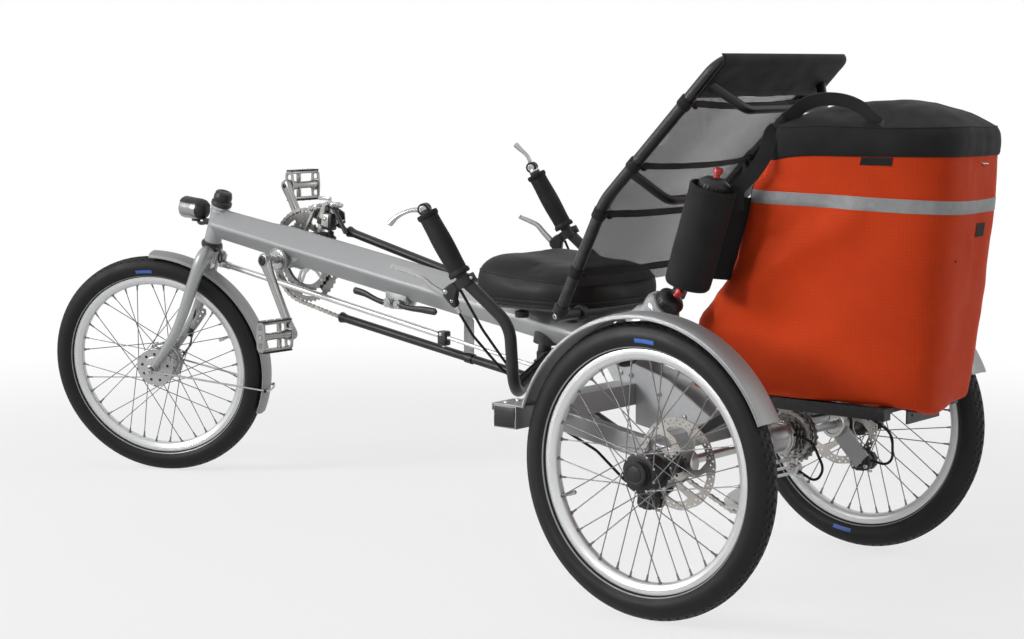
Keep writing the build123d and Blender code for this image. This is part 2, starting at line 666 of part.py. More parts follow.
def wrap(row, arrive, leave):
    """The chain round one wheel, from where it arrives to where it leaves."""
    first = degrees(atan2(arrive.Z - row[2], arrive.Y - row[1]))
    last = degrees(atan2(leave.Z - row[2], leave.Y - row[1]))
    low, high = (last, first) if row[4] < 0 else (first, last)
    if high < low:
        high += 360
    return Pos(*row[:3]) * arc_band(row[3] - chain_height / 2, chain_height, chain_width / 2, low, high)


runs = [chain_run(row, chain_table[(i + 1) % len(chain_table)]) for i, row in enumerate(chain_table)]
chain = None
for i, row in enumerate(chain_table):
    link = straight_link(*runs[i])
    if row[4]:
        link += wrap(row, runs[i - 1][1], runs[i][0])
    else:
        link += disc_x(*row[:3], chain_height / 2, chain_width)
    chain = link if chain is None else chain + link
parts["chain"] = chain

tube_outer = 9.0
tube_bore = hypot(chain_width, chain_height) / 2 + clearance


def chain_tube(start, end, low, high):
    """A tube round part of a straight run, between two fractions of it."""
    first = start + (end - start) * low
    last = start + (end - start) * high
    return rod(first, last, tube_outer) - rod(first, last, tube_bore)


tube_table = (
    # index of the run, the fractions of it that the tube covers
    (1, 0.02, 0.97),
    (2, 0.03, 0.62),
    (6, 0.03, 0.97),
    (5, 0.25, 0.97),
)
parts["chain_tubes"] = Compound([chain_tube(*runs[i], low, high) for i, low, high in tube_table])

rear_mech = disc_x(sprocket_x + 14, 22, axle_z - 56, 11, 22)
cage = ((-46, 178), (-66, 180), (-130, 118), (-124, 100), (-106, 102))
for dx in (-6.5, 6.5):
    rear_mech += side_plate(cage, sprocket_x + dx, 1.6)
for x, y, z, radius, turn in chain_table[4:6]:
    rear_mech += disc_x(x, y, z, idler_radius, 3.0) + disc_x(x, y, z, 4, 14)
rear_mech += square_bar((sprocket_x + 12, 22, axle_z - 56), (sprocket_x + 12, -56, 172), 10, 16)
parts["rear_derailleur"] = rear_mech

post_y = crank_y + 62
saddle = block((ring_x + 12, post_y - 10, tube_z(post_y) - 6), (-2, post_y + 10, tube_z(post_y) + 44))
saddle -= corner_bar(post_y - 40, post_y + 40, boom_side + 2 * clearance)
post_z = tube_z(post_y)
post = saddle + rod((ring_x + 22, post_y, post_z + 30), (ring_x + 22, post_y + 14, post_z + 96), 8)
post += block((ring_x + 10, post_y - 8, post_z + 62), (ring_x + 30, post_y + 44, post_z + 84))
cage_z = crank_z + big_ring_radius
for dx in (-9, 15):
    outline = ((post_y - 40, cage_z + 14), (post_y + 40, cage_z + 4), (post_y + 44, cage_z - 22),
               (post_y - 30, cage_z - 8))
    post += side_plate(outline, ring_x + dx, 1.6)
post += block((ring_x - 9, post_y + 10, cage_z + 2), (ring_x + 15, post_y + 22, cage_z + 8))
parts["front_derailleur"] = post

# cable loops that end in the calipers and the rear derailleur
loop_table = (
    # bend radii, then the corners
    ([14, 60, 25], (225, -287, 297.7), (225, -285, 276), (246, -190, 250), (262, -115, 208), (258, -75.0, 196)),
    ([30, 30, 26], (-234.2, -50, 262), (-226, 60, 292), (-240, 128, 250), (-254, 122, 184), (-258, 75.0, 190)),
    ([22, 24, 20], (-60, 27.1, 262), (-60, 66, 252), (-66, 88, 204), (-71, 68, 176), (-73, 32.4, 192)),
)
parts["frame_cables"] = Compound([pipe(corners, cable_radius, bends) for bends, *corners in loop_table])

# brake calipers, each a slotted block over its rotor
calipers = []
for side, y in caliper_table:
    x = side * rotor_x
    body = Pos(x, y, caliper_z) * Box(2 * caliper_half, caliper_length, caliper_height)
    body -= Pos(x, y, caliper_z + 8) * Box(rotor_thickness + 2, 60, 40)
    calipers.append(body)
parts["brake_calipers"] = Compound(calipers)

# ---------------------------------------------------------------- headlamp
lamp_mid = Vector(0, -1512, 608)
lamp = rod(lamp_mid + Vector(0, -30, 2), lamp_mid + Vector(0, 24, -2), 24)
lamp += Pos(*(lamp_mid + Vector(0, 24, -2))) * Sphere(23)
lamp += block((-4, -1500, 572), (4, -1462, 588))
lamp += rod(lamp_mid, (0, -1494, 576), 6)
lamp -= rod(head_base + head * (head_low - 5), head_base + head * (head_high + 5), head_radius + clearance)
parts["headlamp"] = lamp

# ---------------------------------------------------------------- seat
back_table = (
    # y, z of the side tube's corners, from the lower rail up to the top rail
    (-325.0, pan_z + 4.0),
    (-221.0, 688.0),
    (24.0, 937.0),
)
hoop = [(seat_half, y, z) for y, z in back_table]
hoop += [(-seat_half, y, z) for y, z in reversed(back_table)]
seat_frame = pipe(hoop, seat_tube_radius, [120, 34, 34, 120])
seat_frame += disc_x(0, *back_table[0], rail_radius, 2 * seat_half + 8)
brace_table = (
    # y, z where the brace leaves the side tube, and y, z of its straight middle
    (-9.0, 903.0, 38.0, 852.0),
    (-166.0, 742.0, -124.0, 690.0),
)
brace_inset, brace_bend = 58.0, 34.0


def brace(y, z, mid_y, mid_z, radius):
    """A brace across the back, straight in its middle."""
    path = [(seat_half, y, z), (seat_half - brace_inset, mid_y, mid_z),
            (brace_inset - seat_half, mid_y, mid_z), (-seat_half, y, z)]
    return pipe(path, radius, [brace_bend, brace_bend])


for row in brace_table:
    seat_frame += brace(*row, brace_radius)
parts["seat_frame"] = seat_frame

pan_front, pan_half, pan_wall = -560.0, 120.0, 6.0
pan_rear = back_table[0][0] - rail_radius - clearance
pan = block((-pan_half, pan_front, pan_z), (pan_half, pan_rear, pan_z + pan_wall))
for y in pan_posts:
    pan += block((-16, y - 18, tube_z(y) + tube_reach - 8), (16, y + 18, pan_z + 1))
parts["seat_pan"] = pan - corner_bar(tube_front_y, tube_rear_y, tube_side + 2 * clearance)
cushion_side, cushion_corner, cushion_height, cushion_y = 300.0, 70.0, 78.0, -452.0
cushion = extrude(RectangleRounded(cushion_side, cushion_side, cushion_corner), amount=cushion_height)
cushion = Pos(0, cushion_y, pan_z + pan_wall + clearance) * cushion
cushion -= disc_x(0, *back_table[0], seat_tube_radius + clearance, 500)
cushion -= corner_bar(tube_front_y, tube_rear_y, tube_side + 2 * clearance)
parts["seat_cushion"] = cushion

# mesh panel between the side tubes, and the fabric flap over the top rail
mesh_half = seat_half - seat_tube_radius - clearance
mesh_wall = 3.0
mesh_low, mesh_high = 60.0, 40.0       # clear of the lower rail and of the top tube
back_low, back_knee, back_top = [Vector(0, y, z) for y, z in back_table]
low_way = (back_knee - back_low).normalized()
up_way = (back_top - back_knee).normalized()
mesh_start = back_low + low_way * mesh_low
mesh_end = back_top - up_way * mesh_high
sheets = []
for start, end in ((mesh_start, back_knee), (back_knee, mesh_end)):
    section = Plane(start, x_dir=(1, 0, 0), z_dir=end - start) * Rectangle(2 * mesh_half, mesh_wall)
    sheets.append(extrude(section, amount=(end - start).length))
parts["seat_mesh"] = sheets[0] + sheets[1]
flap_normal = Vector(0, up_way.Z, -up_way.Y)
flap_length, flap_drop, flap_wall, flap_over = 78.0, 70.0, 4.0, 12.0
flap_start = back_top - up_way * flap_drop + flap_normal * (seat_tube_radius + clearance + flap_wall / 2)
flap = extrude(Plane(flap_start, x_dir=(1, 0, 0), z_dir=up_way)
               * Rectangle(2 * (seat_half + flap_over), flap_wall), amount=flap_length)
parts["seat_flap"] = flap - brace(*brace_table[0], brace_radius + clearance)

# ---------------------------------------------------------------- luggage rack and bag
rack_top = 362.0
rack_front, rack_rear = 20.0, 318.0
rack_half = 118.0
rail_side, leg_side, slat_depth, slat_wall = 20.0, 18.0, 24.0, 8.0
light_hole = 2.75
light_spacing = 80.0
light_half, light_drop, light_wall = 56.0, 34.0, 3.0
rack = block((-light_half, rack_rear, rack_top - light_drop), (light_half, rack_rear + light_wall, rack_top))
for x in (-light_spacing / 2, light_spacing / 2):
    rack -= Pos(x, rack_rear, rack_top - 20) * Rot(90, 0, 0) * Cylinder(light_hole, 20)
for y in (rack_front + slat_depth / 2, (rack_front + rack_rear) / 2, rack_rear - slat_depth / 2):
    rack += block((-rack_half, y - slat_depth / 2, rack_top - slat_wall),
                  (rack_half, y + slat_depth / 2, rack_top))
for side in (1, -1):
    x = side * rack_half
    rack += block((x - rail_side / 2, rack_front, rack_top - rail_side),
                  (x + rail_side / 2, rack_rear, rack_top))
    rack += square_bar((x, member_y, member_z), (x, 60, rack_top - 12), leg_side, leg_side)
rack -= block((-arm_x, member_y - member_side, member_z - member_side),
              (arm_x, member_y + member_side / 2, member_z + member_side / 2))
parts["luggage_rack"] = rack

bag_low = rack_top + clearance
bag_seam = 778.0
bag_wall = 4.0
bag_table = (
    # height, y of the front, y of the rear, half width at the front, half width at the rear
    (bag_low, -62.0, 372.0, 168.0, 96.0),
    (bag_seam, 92.0, 412.0, 188.0, 108.0),
)


def bag_section(z, front, rear, front_half, rear_half, inset=0.0):
    """Trapezium with rounded corners, wide at the front."""
    points = ((front_half - inset, front + inset), (rear_half - inset, rear - inset),
              (inset - rear_half, rear - inset), (inset - front_half, front + inset))
    outline = make_face(Polyline(*points, close=True))
    outline = fillet(outline.vertices(), 46 - inset)
    return Pos(0, 0, z) * outline


bag = loft([bag_section(*row) for row in bag_table])
hollow_table = ((bag_low + bag_wall, *bag_table[0][1:]), bag_table[1])
bag -= loft([bag_section(*hollow_table[0], inset=bag_wall), bag_section(*hollow_table[1], inset=bag_wall)])
parts["bag_shell"] = bag

lid_low = bag_seam + clearance
lid_rim = 830.0
lid_top = 874.0
seam = bag_table[1][1:]
rim_steps = (16, 4, -4, 4)             # from the seam to the rim: front, rear and both half widths
top_steps = (110, -80, -90, -48)       # from the seam to the dome's flat top
lid_rim_row = (lid_rim, *[a + b for a, b in zip(seam, rim_steps)])
lid_top_row = (lid_top, *[a + b for a, b in zip(seam, top_steps)])
lid = loft([bag_section(lid_low, *seam), bag_section(*lid_rim_row)])
lid += loft([bag_section(*lid_rim_row), bag_section(*lid_top_row)])
lid -= loft([bag_section(lid_low - 1, *seam, inset=bag_wall), bag_section(*lid_rim_row, inset=bag_wall)])
parts["bag_lid"] = lid
handle = pipe([(150, 150, 846), (150, 190, 880), (136, 230, 886), (128, 280, 846)], 5, [16, 16])
parts["bag_handle"] = handle - lid

# bottles in two sleeves on a panel that wraps the bag's front left corner
panel_wall = 3.0
panel_outer = loft([bag_section(*row, inset=-panel_wall - clearance) for row in bag_table])
panel_inner = loft([bag_section(*row, inset=-clearance) for row in bag_table])
panel_outline = ((-120, 430), (-8, 430), (108, 744), (-120, 744))     # y, z
panel = (panel_outer - panel_inner) & side_plate(panel_outline, 185, 150)
bag_corner = Vector(132.0, 88.0, 0.0)
bottle_table = (
    # low end of the bottle's axis, its lean along y, bottle radius, height of body, sleeve height
    ((234.0, -8.0, 556.0), 17.4, 36.5, 168.0, 178.0),
    ((225.0, -164.0, 428.0), 50.0, 34.0, 140.0, 134.0),
)
sleeve_wall = 3.0
fin_reach, fin_wall = 110.0, 6.0
neck_ratio, neck_height, nozzle_radius, nozzle_height = 0.74, 22.0, 9.0, 18.0
sleeves = panel
for index, (low, lean_angle, radius, body, height) in enumerate(bottle_table):
    low = Vector(*low)
    way = Vector(0, sin(radians(lean_angle)), cos(radians(lean_angle)))
    outer = radius + clearance + sleeve_wall
    sleeve = rod(low, low + way * height, outer)
    inward = Vector(bag_corner.X - low.X, bag_corner.Y - low.Y, 0).normalized()
    inward = (inward - way * inward.dot(way)).normalized()
    fin_start = low + way * 6 + inward * (outer + fin_reach / 2 - 8)
    fin_face = Plane(fin_start, x_dir=inward, z_dir=way) * Rectangle(fin_reach, fin_wall)
    fin = extrude(fin_face, amount=height - 12)
    sleeves += (sleeve + fin) - panel_inner
    sleeves -= rod(low + way * sleeve_wall, low + way * (height + 60), radius + clearance)
    base = low + way * (sleeve_wall + clearance)
    neck = base + way * body
    bottle = rod(base, neck, radius) + rod(neck, neck + way * neck_height, neck_ratio * radius)
    bottle += rod(neck + way * neck_height, neck + way * (neck_height + nozzle_height), nozzle_radius)
    parts[("pouch_bottle", "frame_bottle")[index]] = bottle
parts["bottle_pouch"] = sleeves

# ---------------------------------------------------------------- place and write
box = Compound(list(parts.values())).bounding_box()
origin_y = (box.min.Y + box.max.Y) / 2
os.makedirs("parts", exist_ok=True)
for name, piece in parts.items():
    export_step(piece.moved(Location((0, -origin_y, tyre_radius - axle_z))), "parts/" + name + ".step")
print("origin_y", origin_y, "size", box.size)
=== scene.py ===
import bpy, bmesh, json
from math import asin, atan2, cos, degrees, hypot, pi, radians, sin, sqrt
from mathutils import Matrix, Vector, noise
from mathutils.bvhtree import BVHTree


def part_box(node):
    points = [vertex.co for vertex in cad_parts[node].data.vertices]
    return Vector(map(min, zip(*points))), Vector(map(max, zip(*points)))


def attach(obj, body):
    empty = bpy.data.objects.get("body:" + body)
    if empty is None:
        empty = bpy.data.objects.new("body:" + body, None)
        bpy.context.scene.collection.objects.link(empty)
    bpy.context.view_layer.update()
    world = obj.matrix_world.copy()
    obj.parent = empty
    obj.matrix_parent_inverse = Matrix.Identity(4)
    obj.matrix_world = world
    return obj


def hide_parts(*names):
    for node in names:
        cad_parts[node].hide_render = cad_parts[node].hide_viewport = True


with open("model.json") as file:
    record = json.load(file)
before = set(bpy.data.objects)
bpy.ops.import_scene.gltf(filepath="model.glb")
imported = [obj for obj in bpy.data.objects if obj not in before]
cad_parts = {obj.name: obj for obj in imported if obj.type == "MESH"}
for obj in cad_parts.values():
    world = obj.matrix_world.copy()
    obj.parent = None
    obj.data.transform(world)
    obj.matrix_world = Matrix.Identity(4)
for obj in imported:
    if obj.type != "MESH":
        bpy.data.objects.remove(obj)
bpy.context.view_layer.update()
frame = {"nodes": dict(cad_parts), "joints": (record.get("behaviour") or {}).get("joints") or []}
joints = {joint["name"]: joint for joint in frame["joints"]}
print("frame loaded")

# places and turns for shapes that are made along x
xWay = Vector((1, 0, 0))


def moved(*place):
    # shift by a vector or by x, y and z
    return Matrix.Translation(place if len(place) == 3 else place[0])


def turned(angle, axis="X"):
    return Matrix.Rotation(angle, 4, axis)


def flip(way):
    # -1 mirrors across x, 1 leaves a shape as it is
    return Matrix.Diagonal((way, 1, 1, 1))


def turns(count, start=0):
    # angles that divide a circle
    return [2 * pi * (i + start) / count for i in range(count)]


upX, downX = turned(-pi / 2, "Y"), turned(pi / 2, "Y")        # +x to +z, or to -z
backX, frontX = turned(pi / 2, "Z"), turned(-pi / 2, "Z")     # +x to +y, or to -y


# Everything is modelled in millimetres with y = 0 at the rear axle and the front towards -y,
# then moved into the scene by toScene.
tyreLow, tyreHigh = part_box("left_tyre")
axleY = (tyreLow[1] + tyreHigh[1]) / 2
toScene = moved(0, axleY, 0) @ Matrix.Scale(0.001, 4)
toBench = toScene.inverted()


def jointPoint(name):
    return toBench @ Vector(joints[name]["pos_m"])


def jointAxis(name):
    return Vector(joints[name]["axis"]).normalized()


restPose = {"barTurn": 21.7, "crankTurn": 28.0, "headPivotAt": 300.0}
headAxis = jointAxis("steering")
forkTurn = xWay.rotation_difference(jointAxis("front_wheel_spin")).to_matrix().to_4x4()
headBase = jointPoint("steering") - headAxis * restPose["headPivotAt"]
headBasis = Matrix(((1, 0, 0), (0, headAxis.z, headAxis.y), (0, -headAxis.y, headAxis.z))).to_4x4()
forkSpace = moved(headBase) @ forkTurn @ headBasis      # x across, y back, z up the steering axis
straightFork = moved(headBase) @ headBasis              # the same for what stays with the head tube
wheelSpaces = {
    "front": moved(jointPoint("front_wheel_spin")) @ forkTurn,
    "left": moved(jointPoint("left_wheel_spin")),
    "right": moved(jointPoint("right_wheel_spin")) @ turned(pi, "Z"),
}
barPivot = jointPoint("handlebar_pivot")
tubeUp = jointAxis("handlebar_pivot")
tubeSlope = atan2(tubeUp.y, tubeUp.z)
barSpace = (moved(barPivot) @ Matrix.Rotation(radians(restPose["barTurn"]), 4, tubeUp)
            @ moved(-barPivot))
tubeSpace = moved(0, -1300, 558) @ turned(-tubeSlope)    # y runs down the tube
crankMid = Vector((0, *jointPoint("crank_spin").yz))
crankSpace = moved(crankMid) @ turned(radians(restPose["crankTurn"]))
rodFront, rodRear = Vector((-37.6, -1468.1, 484.5)), Vector((-29.0, -538.6, 333.9))     # eyes of the steering rod
layout = {"wheelX": 356, "rotorX": 269, "carrierX": 250, "cassetteX": -88, "axleZ": 253, "beamY": -287.0,
        "beamEnd": 384.6, "seatFoot": (-325, 474), "tubeGuideY": -752.0}


# each of these gives a shape in millimetres
def lathe(profile, steps=64, angle=2 * pi, loop=False):
    # profile: (place along x, radius)
    bm = bmesh.new()
    verts = [bm.verts.new((along, radius, 0)) for along, radius in profile]
    edges = [bm.edges.new(pair) for pair in zip(verts, verts[1:])]
    if loop:
        edges.append(bm.edges.new((verts[-1], verts[0])))
    bmesh.ops.spin(bm, geom=verts + edges, cent=(0, 0, 0), axis=(1, 0, 0), dvec=(0, 0, 0),
                   angle=angle, steps=steps, use_merge=angle > 6.28)
    bmesh.ops.remove_doubles(bm, verts=bm.verts, dist=1e-3)
    bmesh.ops.recalc_face_normals(bm, faces=bm.faces)
    return bm


def block(size, middle=(0, 0, 0), round=0.0):
    # box with rounded edges
    bm = bmesh.new()
    bmesh.ops.create_cube(bm, size=1, matrix=moved(middle) @ Matrix.Diagonal((*size, 1)))
    if round:
        bmesh.ops.bevel(bm, geom=bm.edges[:], offset=round, offset_type="OFFSET", segments=2,
                        profile=0.5, affect="EDGES", material=-1)
    return bm


def aim(start, end):
    # matrix that lays a shape made along x from start towards end
    start, end = Vector(start), Vector(end)
    turn = xWay.rotation_difference(end - start).to_matrix().to_4x4()
    return moved(start) @ turn


def pin(start, end, radius, sides=20, round=0.6, tip=None):
    # round bar with softened ends; tip is its radius at the far end
    length = (Vector(end) - Vector(start)).length
    tip = radius if tip is None else tip
    profile = [(0, 0), (0, radius - round), (round, radius), (length - round, tip), (length, tip - round), (length, 0)]
    bm = lathe(profile, sides)
    bm.transform(aim(start, end))
    return bm


def tube(points, radius, detail=3):
    # round bar along a smooth line near points
    curve = bpy.data.curves.new("line", "CURVE")
    curve.dimensions = "3D"
    spline = curve.splines.new("NURBS")
    spline.points.add(len(points) - 1)
    for made, point in zip(spline.points, points):
        made.co = (*point, 1)
    spline.order_u = 3
    spline.use_endpoint_u = True
    curve.bevel_depth, curve.bevel_resolution = radius, detail
    curve.use_fill_caps, curve.resolution_u = True, 6
    made = bpy.data.objects.new("line", curve)
    mesh = bpy.data.meshes.new_from_object(made)
    bm = bmesh.new()
    bm.from_mesh(mesh)
    bpy.data.objects.remove(made)
    bpy.data.curves.remove(curve)
    bpy.data.meshes.remove(mesh)
    bmesh.ops.remove_doubles(bm, verts=bm.verts, dist=1e-3)
    return bm


def plate(outline, thickness, holes=(), round=0.0):
    # flat plate in the y-z plane from x = -thickness / 2, with holes given as (y, z, radius) or outlines
    bm = bmesh.new()
    for line in [outline] + [ringOf(*hole) if len(hole) == 3 and not hasattr(hole[0], "__len__") else hole
                             for hole in holes]:
        verts = [bm.verts.new((-thickness / 2, y, z)) for y, z in line]
        for i, vert in enumerate(verts):
            bm.edges.new((vert, verts[(i + 1) % len(verts)]))
    bmesh.ops.triangle_fill(bm, use_beauty=True, use_dissolve=False, edges=bm.edges[:], normal=(1, 0, 0))
    bmesh.ops.dissolve_limit(bm, angle_limit=0.01, verts=bm.verts[:], edges=bm.edges[:], use_dissolve_boundaries=False)
    grown = bmesh.ops.extrude_face_region(bm, geom=bm.faces[:], use_keep_orig=True)
    pushed = [g for g in grown["geom"] if isinstance(g, bmesh.types.BMVert)]
    bmesh.ops.translate(bm, verts=pushed, vec=(thickness, 0, 0))
    bmesh.ops.recalc_face_normals(bm, faces=bm.faces)
    if round:
        rims = [e for e in bm.edges if e.is_manifold and e.calc_face_angle() > 1.2]
        bmesh.ops.bevel(bm, geom=rims, offset=round, offset_type="OFFSET", segments=1,
                        profile=0.5, affect="EDGES", material=-1, clamp_overlap=True)
    return bm


def polar(points, start=0.0):
    # outline from radius and angle
    return [(radius * cos(start + turn), radius * sin(start + turn)) for radius, turn in points]


def ringOf(y, z, radius, count=10):
    return [(y + radius * cos(a), z + radius * sin(a)) for a in turns(count)]


def addTo(bm, part, place=Matrix(), tint=0):
    part.transform(place)
    if place.determinant() < 0:
        bmesh.ops.reverse_faces(part, faces=part.faces)
    for face in part.faces:
        face.material_index = tint
    mesh = bpy.data.meshes.new("part")
    part.to_mesh(mesh)
    part.free()
    bm.from_mesh(mesh)
    bpy.data.meshes.remove(mesh)


def around(count, start=0.0):
    return [turned(start + 2 * pi * i / count) for i in range(count)]


def layUv(mesh):
    # cloth pattern laid straight on from the side each face looks towards, in metres
    layer = mesh.uv_layers.new(name="cloth").data
    for face in mesh.polygons:
        n = [abs(c) for c in face.normal]
        a, b = ((1, 2) if n[0] >= max(n) else (0, 2) if n[1] >= max(n) else (0, 1))
        for loop in face.loop_indices:
            co = mesh.vertices[mesh.loops[loop].vertex_index].co
            layer[loop].uv = (co[a], co[b])


def makePiece(name, bm, finishes, body, stands=(), space=Matrix(), smooth=32, cloth=False, normals=True):
    if normals:
        bmesh.ops.recalc_face_normals(bm, faces=bm.faces)
    mesh = bpy.data.meshes.new(name)
    bm.to_mesh(mesh)
    bm.free()
    mesh.transform(toScene @ space)
    if space.determinant() < 0:
        mesh.flip_normals()
    for word in ([finishes] if isinstance(finishes, str) else finishes):
        mesh.materials.append(finish[word])
    mesh.shade_smooth()
    mesh.set_sharp_from_angle(angle=radians(smooth))
    if cloth:
        layUv(mesh)
    made = bpy.data.objects.new(name, mesh)
    bpy.context.scene.collection.objects.link(made)
    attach(made, body)
    if stands:
        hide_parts(*stands)
    return made


# shader effects that several finishes share, by name
groups = {}


def newGroup(name, takes, gives):
    # an empty group with the sockets that it takes and gives
    group = groups[name] = bpy.data.node_groups.new(name, "ShaderNodeTree")
    kinds = {"color": "NodeSocketColor", "value": "NodeSocketFloat", "vector": "NodeSocketVector"}
    for label, kind, default in takes:
        socket = group.interface.new_socket(name=label, in_out="INPUT", socket_type=kinds[kind])
        if default is not None:
            socket.default_value = default
    for label, kind in gives:
        group.interface.new_socket(name=label, in_out="OUTPUT", socket_type=kinds[kind])
    return group, group.nodes.new("NodeGroupInput").outputs, group.nodes.new("NodeGroupOutput").inputs


def feed(tree, socket, value):
    # links a socket to another one or gives it a fixed value
    if isinstance(value, bpy.types.NodeSocket):
        tree.links.new(value, socket)
    else:
        socket.default_value = value


def put(tree, kind, settings=None, **links):
    # a node with its settings, its fixed inputs and its links; sockets by name or by number as s0, s1
    made = tree.nodes.new("ShaderNode" + kind)
    for word, value in (settings or {}).items():
        setattr(made, word, value)
    for word, value in links.items():
        numbered = word[0] == "s" and word[1:].isdigit()
        feed(tree, made.inputs[int(word[1:]) if numbered else word.replace("_", " ")], value)
    return made


def give(tree, sockets, *values):
    for value, socket in zip(values, sockets):
        tree.links.new(value, socket)


def math(tree, operation, a, b=None, clamp=False):
    inputs = {"s0": a} if b is None else {"s0": a, "s1": b}
    return put(tree, "Math", {"operation": operation, "use_clamp": clamp}, **inputs).outputs[0]


def mixColor(tree, factor, a, b):
    return put(tree, "Mix", {"data_type": "RGBA"}, s0=factor, s6=a, s7=b).outputs[2]


def spread(tree, value, fromLow, fromHigh, low, high):
    return put(tree, "MapRange", None, s0=value, s1=fromLow, s2=fromHigh, s3=low, s4=high).outputs[0]


def clouds(tree, where, scale, detail, **more):
    return put(tree, "TexNoise", None, Vector=where, Scale=scale, Detail=detail, **more).outputs[0]


def buildGroups():
    # slow tone changes over a surface
    g, i, o = newGroup("toneDrift", [("Vector", "vector", None), ("Scale", "value", 12.0), ("Base", "color", None),
                                     ("Shade", "color", None), ("Amount", "value", 0.5)],
                       [("Color", "color"), ("Tone", "value")])
    tone = spread(g, clouds(g, i[0], i[1], 5.0, Roughness=0.6), 0.32, 0.68, 0.0, 1.0)
    give(g, o, mixColor(g, math(g, "MULTIPLY", tone, i[4]), i[2], i[3]), tone)
    # fine grain for gloss and height
    g, i, o = newGroup("fineGrain", [("Vector", "vector", None), ("Scale", "value", 900.0), ("Low", "value", 0.3),
                                     ("High", "value", 0.5)], [("Roughness", "value"), ("Height", "value")])
    fine, broad = clouds(g, i[0], i[1], 3.0), clouds(g, i[0], 23.0, 4.0)
    both = math(g, "ADD", math(g, "MULTIPLY", fine, 0.45), math(g, "MULTIPLY", broad, 0.55))
    give(g, o, spread(g, both, 0.35, 0.65, i[2], i[3]), fine)
    # rubbed edges, from how sharply the surface bends
    g, i, o = newGroup("edgeRub", [("Vector", "vector", None), ("Base", "color", None), ("Bare", "color", None),
                                   ("Amount", "value", 0.5)], [("Color", "color"), ("Mask", "value")])
    sharpness = g.nodes.new("ShaderNodeNewGeometry").outputs["Pointiness"]
    patch = clouds(g, i[0], 85.0, 4.0)
    edge = math(g, "MULTIPLY", spread(g, sharpness, 0.515, 0.58, 0.0, 1.0), spread(g, patch, 0.4, 0.6, 0.2, 1.0))
    mask = math(g, "MULTIPLY", edge, i[3], True)
    give(g, o, mixColor(g, mask, i[1], i[2]), mask)
    # dust that settles on what faces up, thinly and in patches
    g, i, o = newGroup("dustFilm", [("Vector", "vector", None), ("Base", "color", None), ("Roughness", "value", 0.5),
                                    ("Amount", "value", 0.2), ("Dust", "color", (0.42, 0.4, 0.37, 1))],
                       [("Color", "color"), ("Roughness", "value")])
    facing = put(g, "SeparateXYZ", None, s0=g.nodes.new("ShaderNodeNewGeometry").outputs["Normal"])
    patch = clouds(g, i[0], 31.0, 6.0)
    lay = math(g, "MULTIPLY", spread(g, facing.outputs[2], -0.2, 0.9, 0.15, 1.0), spread(g, patch, 0.4, 0.72, 0.0,
            1.0))
    lay = math(g, "MULTIPLY", lay, i[3], True)
    give(g, o, mixColor(g, lay, i[1], i[4]), math(g, "ADD", i[2], math(g, "MULTIPLY", lay, 0.35), True))
    # plain weave on a cloth map laid out in metres
    g, i, o = newGroup("plainWeave", [("Vector", "vector", None), ("Threads", "value", 900.0), ("Grid", "value", 0.0),
                                      ("Opening", "value", 0.55)],
                       [("Height", "value"), ("Gap", "value"), ("Ripstop", "value")])
    axes = put(g, "SeparateXYZ", None, s0=i[0]).outputs
    warp, weft = [math(g, "SINE", math(g, "MULTIPLY", math(g, "MULTIPLY", axes[n], i[1]), pi)) for n in (0, 1)]
    over = math(g, "GREATER_THAN", math(g, "MULTIPLY", warp, weft), 0.0)
    warpUp, weftUp = math(g, "ABSOLUTE", warp), math(g, "ABSOLUTE", weft)
    height = put(g, "Mix", {"data_type": "FLOAT"}, s0=over, s2=warpUp, s3=weftUp).outputs[0]
    lines = [math(g, "PINGPONG", math(g, "MULTIPLY", axes[n], i[2]), 0.5) for n in (0, 1)]
    rib = math(g, "LESS_THAN", math(g, "MINIMUM", lines[0], lines[1]), 0.045)
    give(g, o, height, math(g, "LESS_THAN", math(g, "MAXIMUM", warpUp, weftUp), i[3]), rib)
    # pebbled leather grain
    g, i, o = newGroup("leatherGrain", [("Vector", "vector", None), ("Scale", "value", 420.0)],
                       [("Height", "value"), ("Tone", "value")])
    drift = put(g, "VectorMath", {"operation": "SCALE"},
                s0=put(g, "TexNoise", None, Vector=i[0], Scale=60.0).outputs[1], Scale=0.004)
    bent = put(g, "VectorMath", {"operation": "ADD"}, s0=i[0], s1=drift.outputs[0])
    cells = put(g, "TexVoronoi", {"feature": "DISTANCE_TO_EDGE"}, Vector=bent.outputs[0], Scale=i[1])
    give(g, o, spread(g, cells.outputs[0], 0.0, 0.28, 0.0, 1.0), clouds(g, i[0], 14.0, 4.0))


buildGroups()
finish = {}


def useGroup(tree, name, **links):
    made = tree.nodes.new("ShaderNodeGroup")
    made.node_tree = groups[name]
    for word, value in links.items():
        feed(tree, made.inputs[word], value)
    return made.outputs


def shade(value):
    # a grey or a colour with its alpha
    return (*value, 1) if isinstance(value, tuple) else (value, value, value, 1)


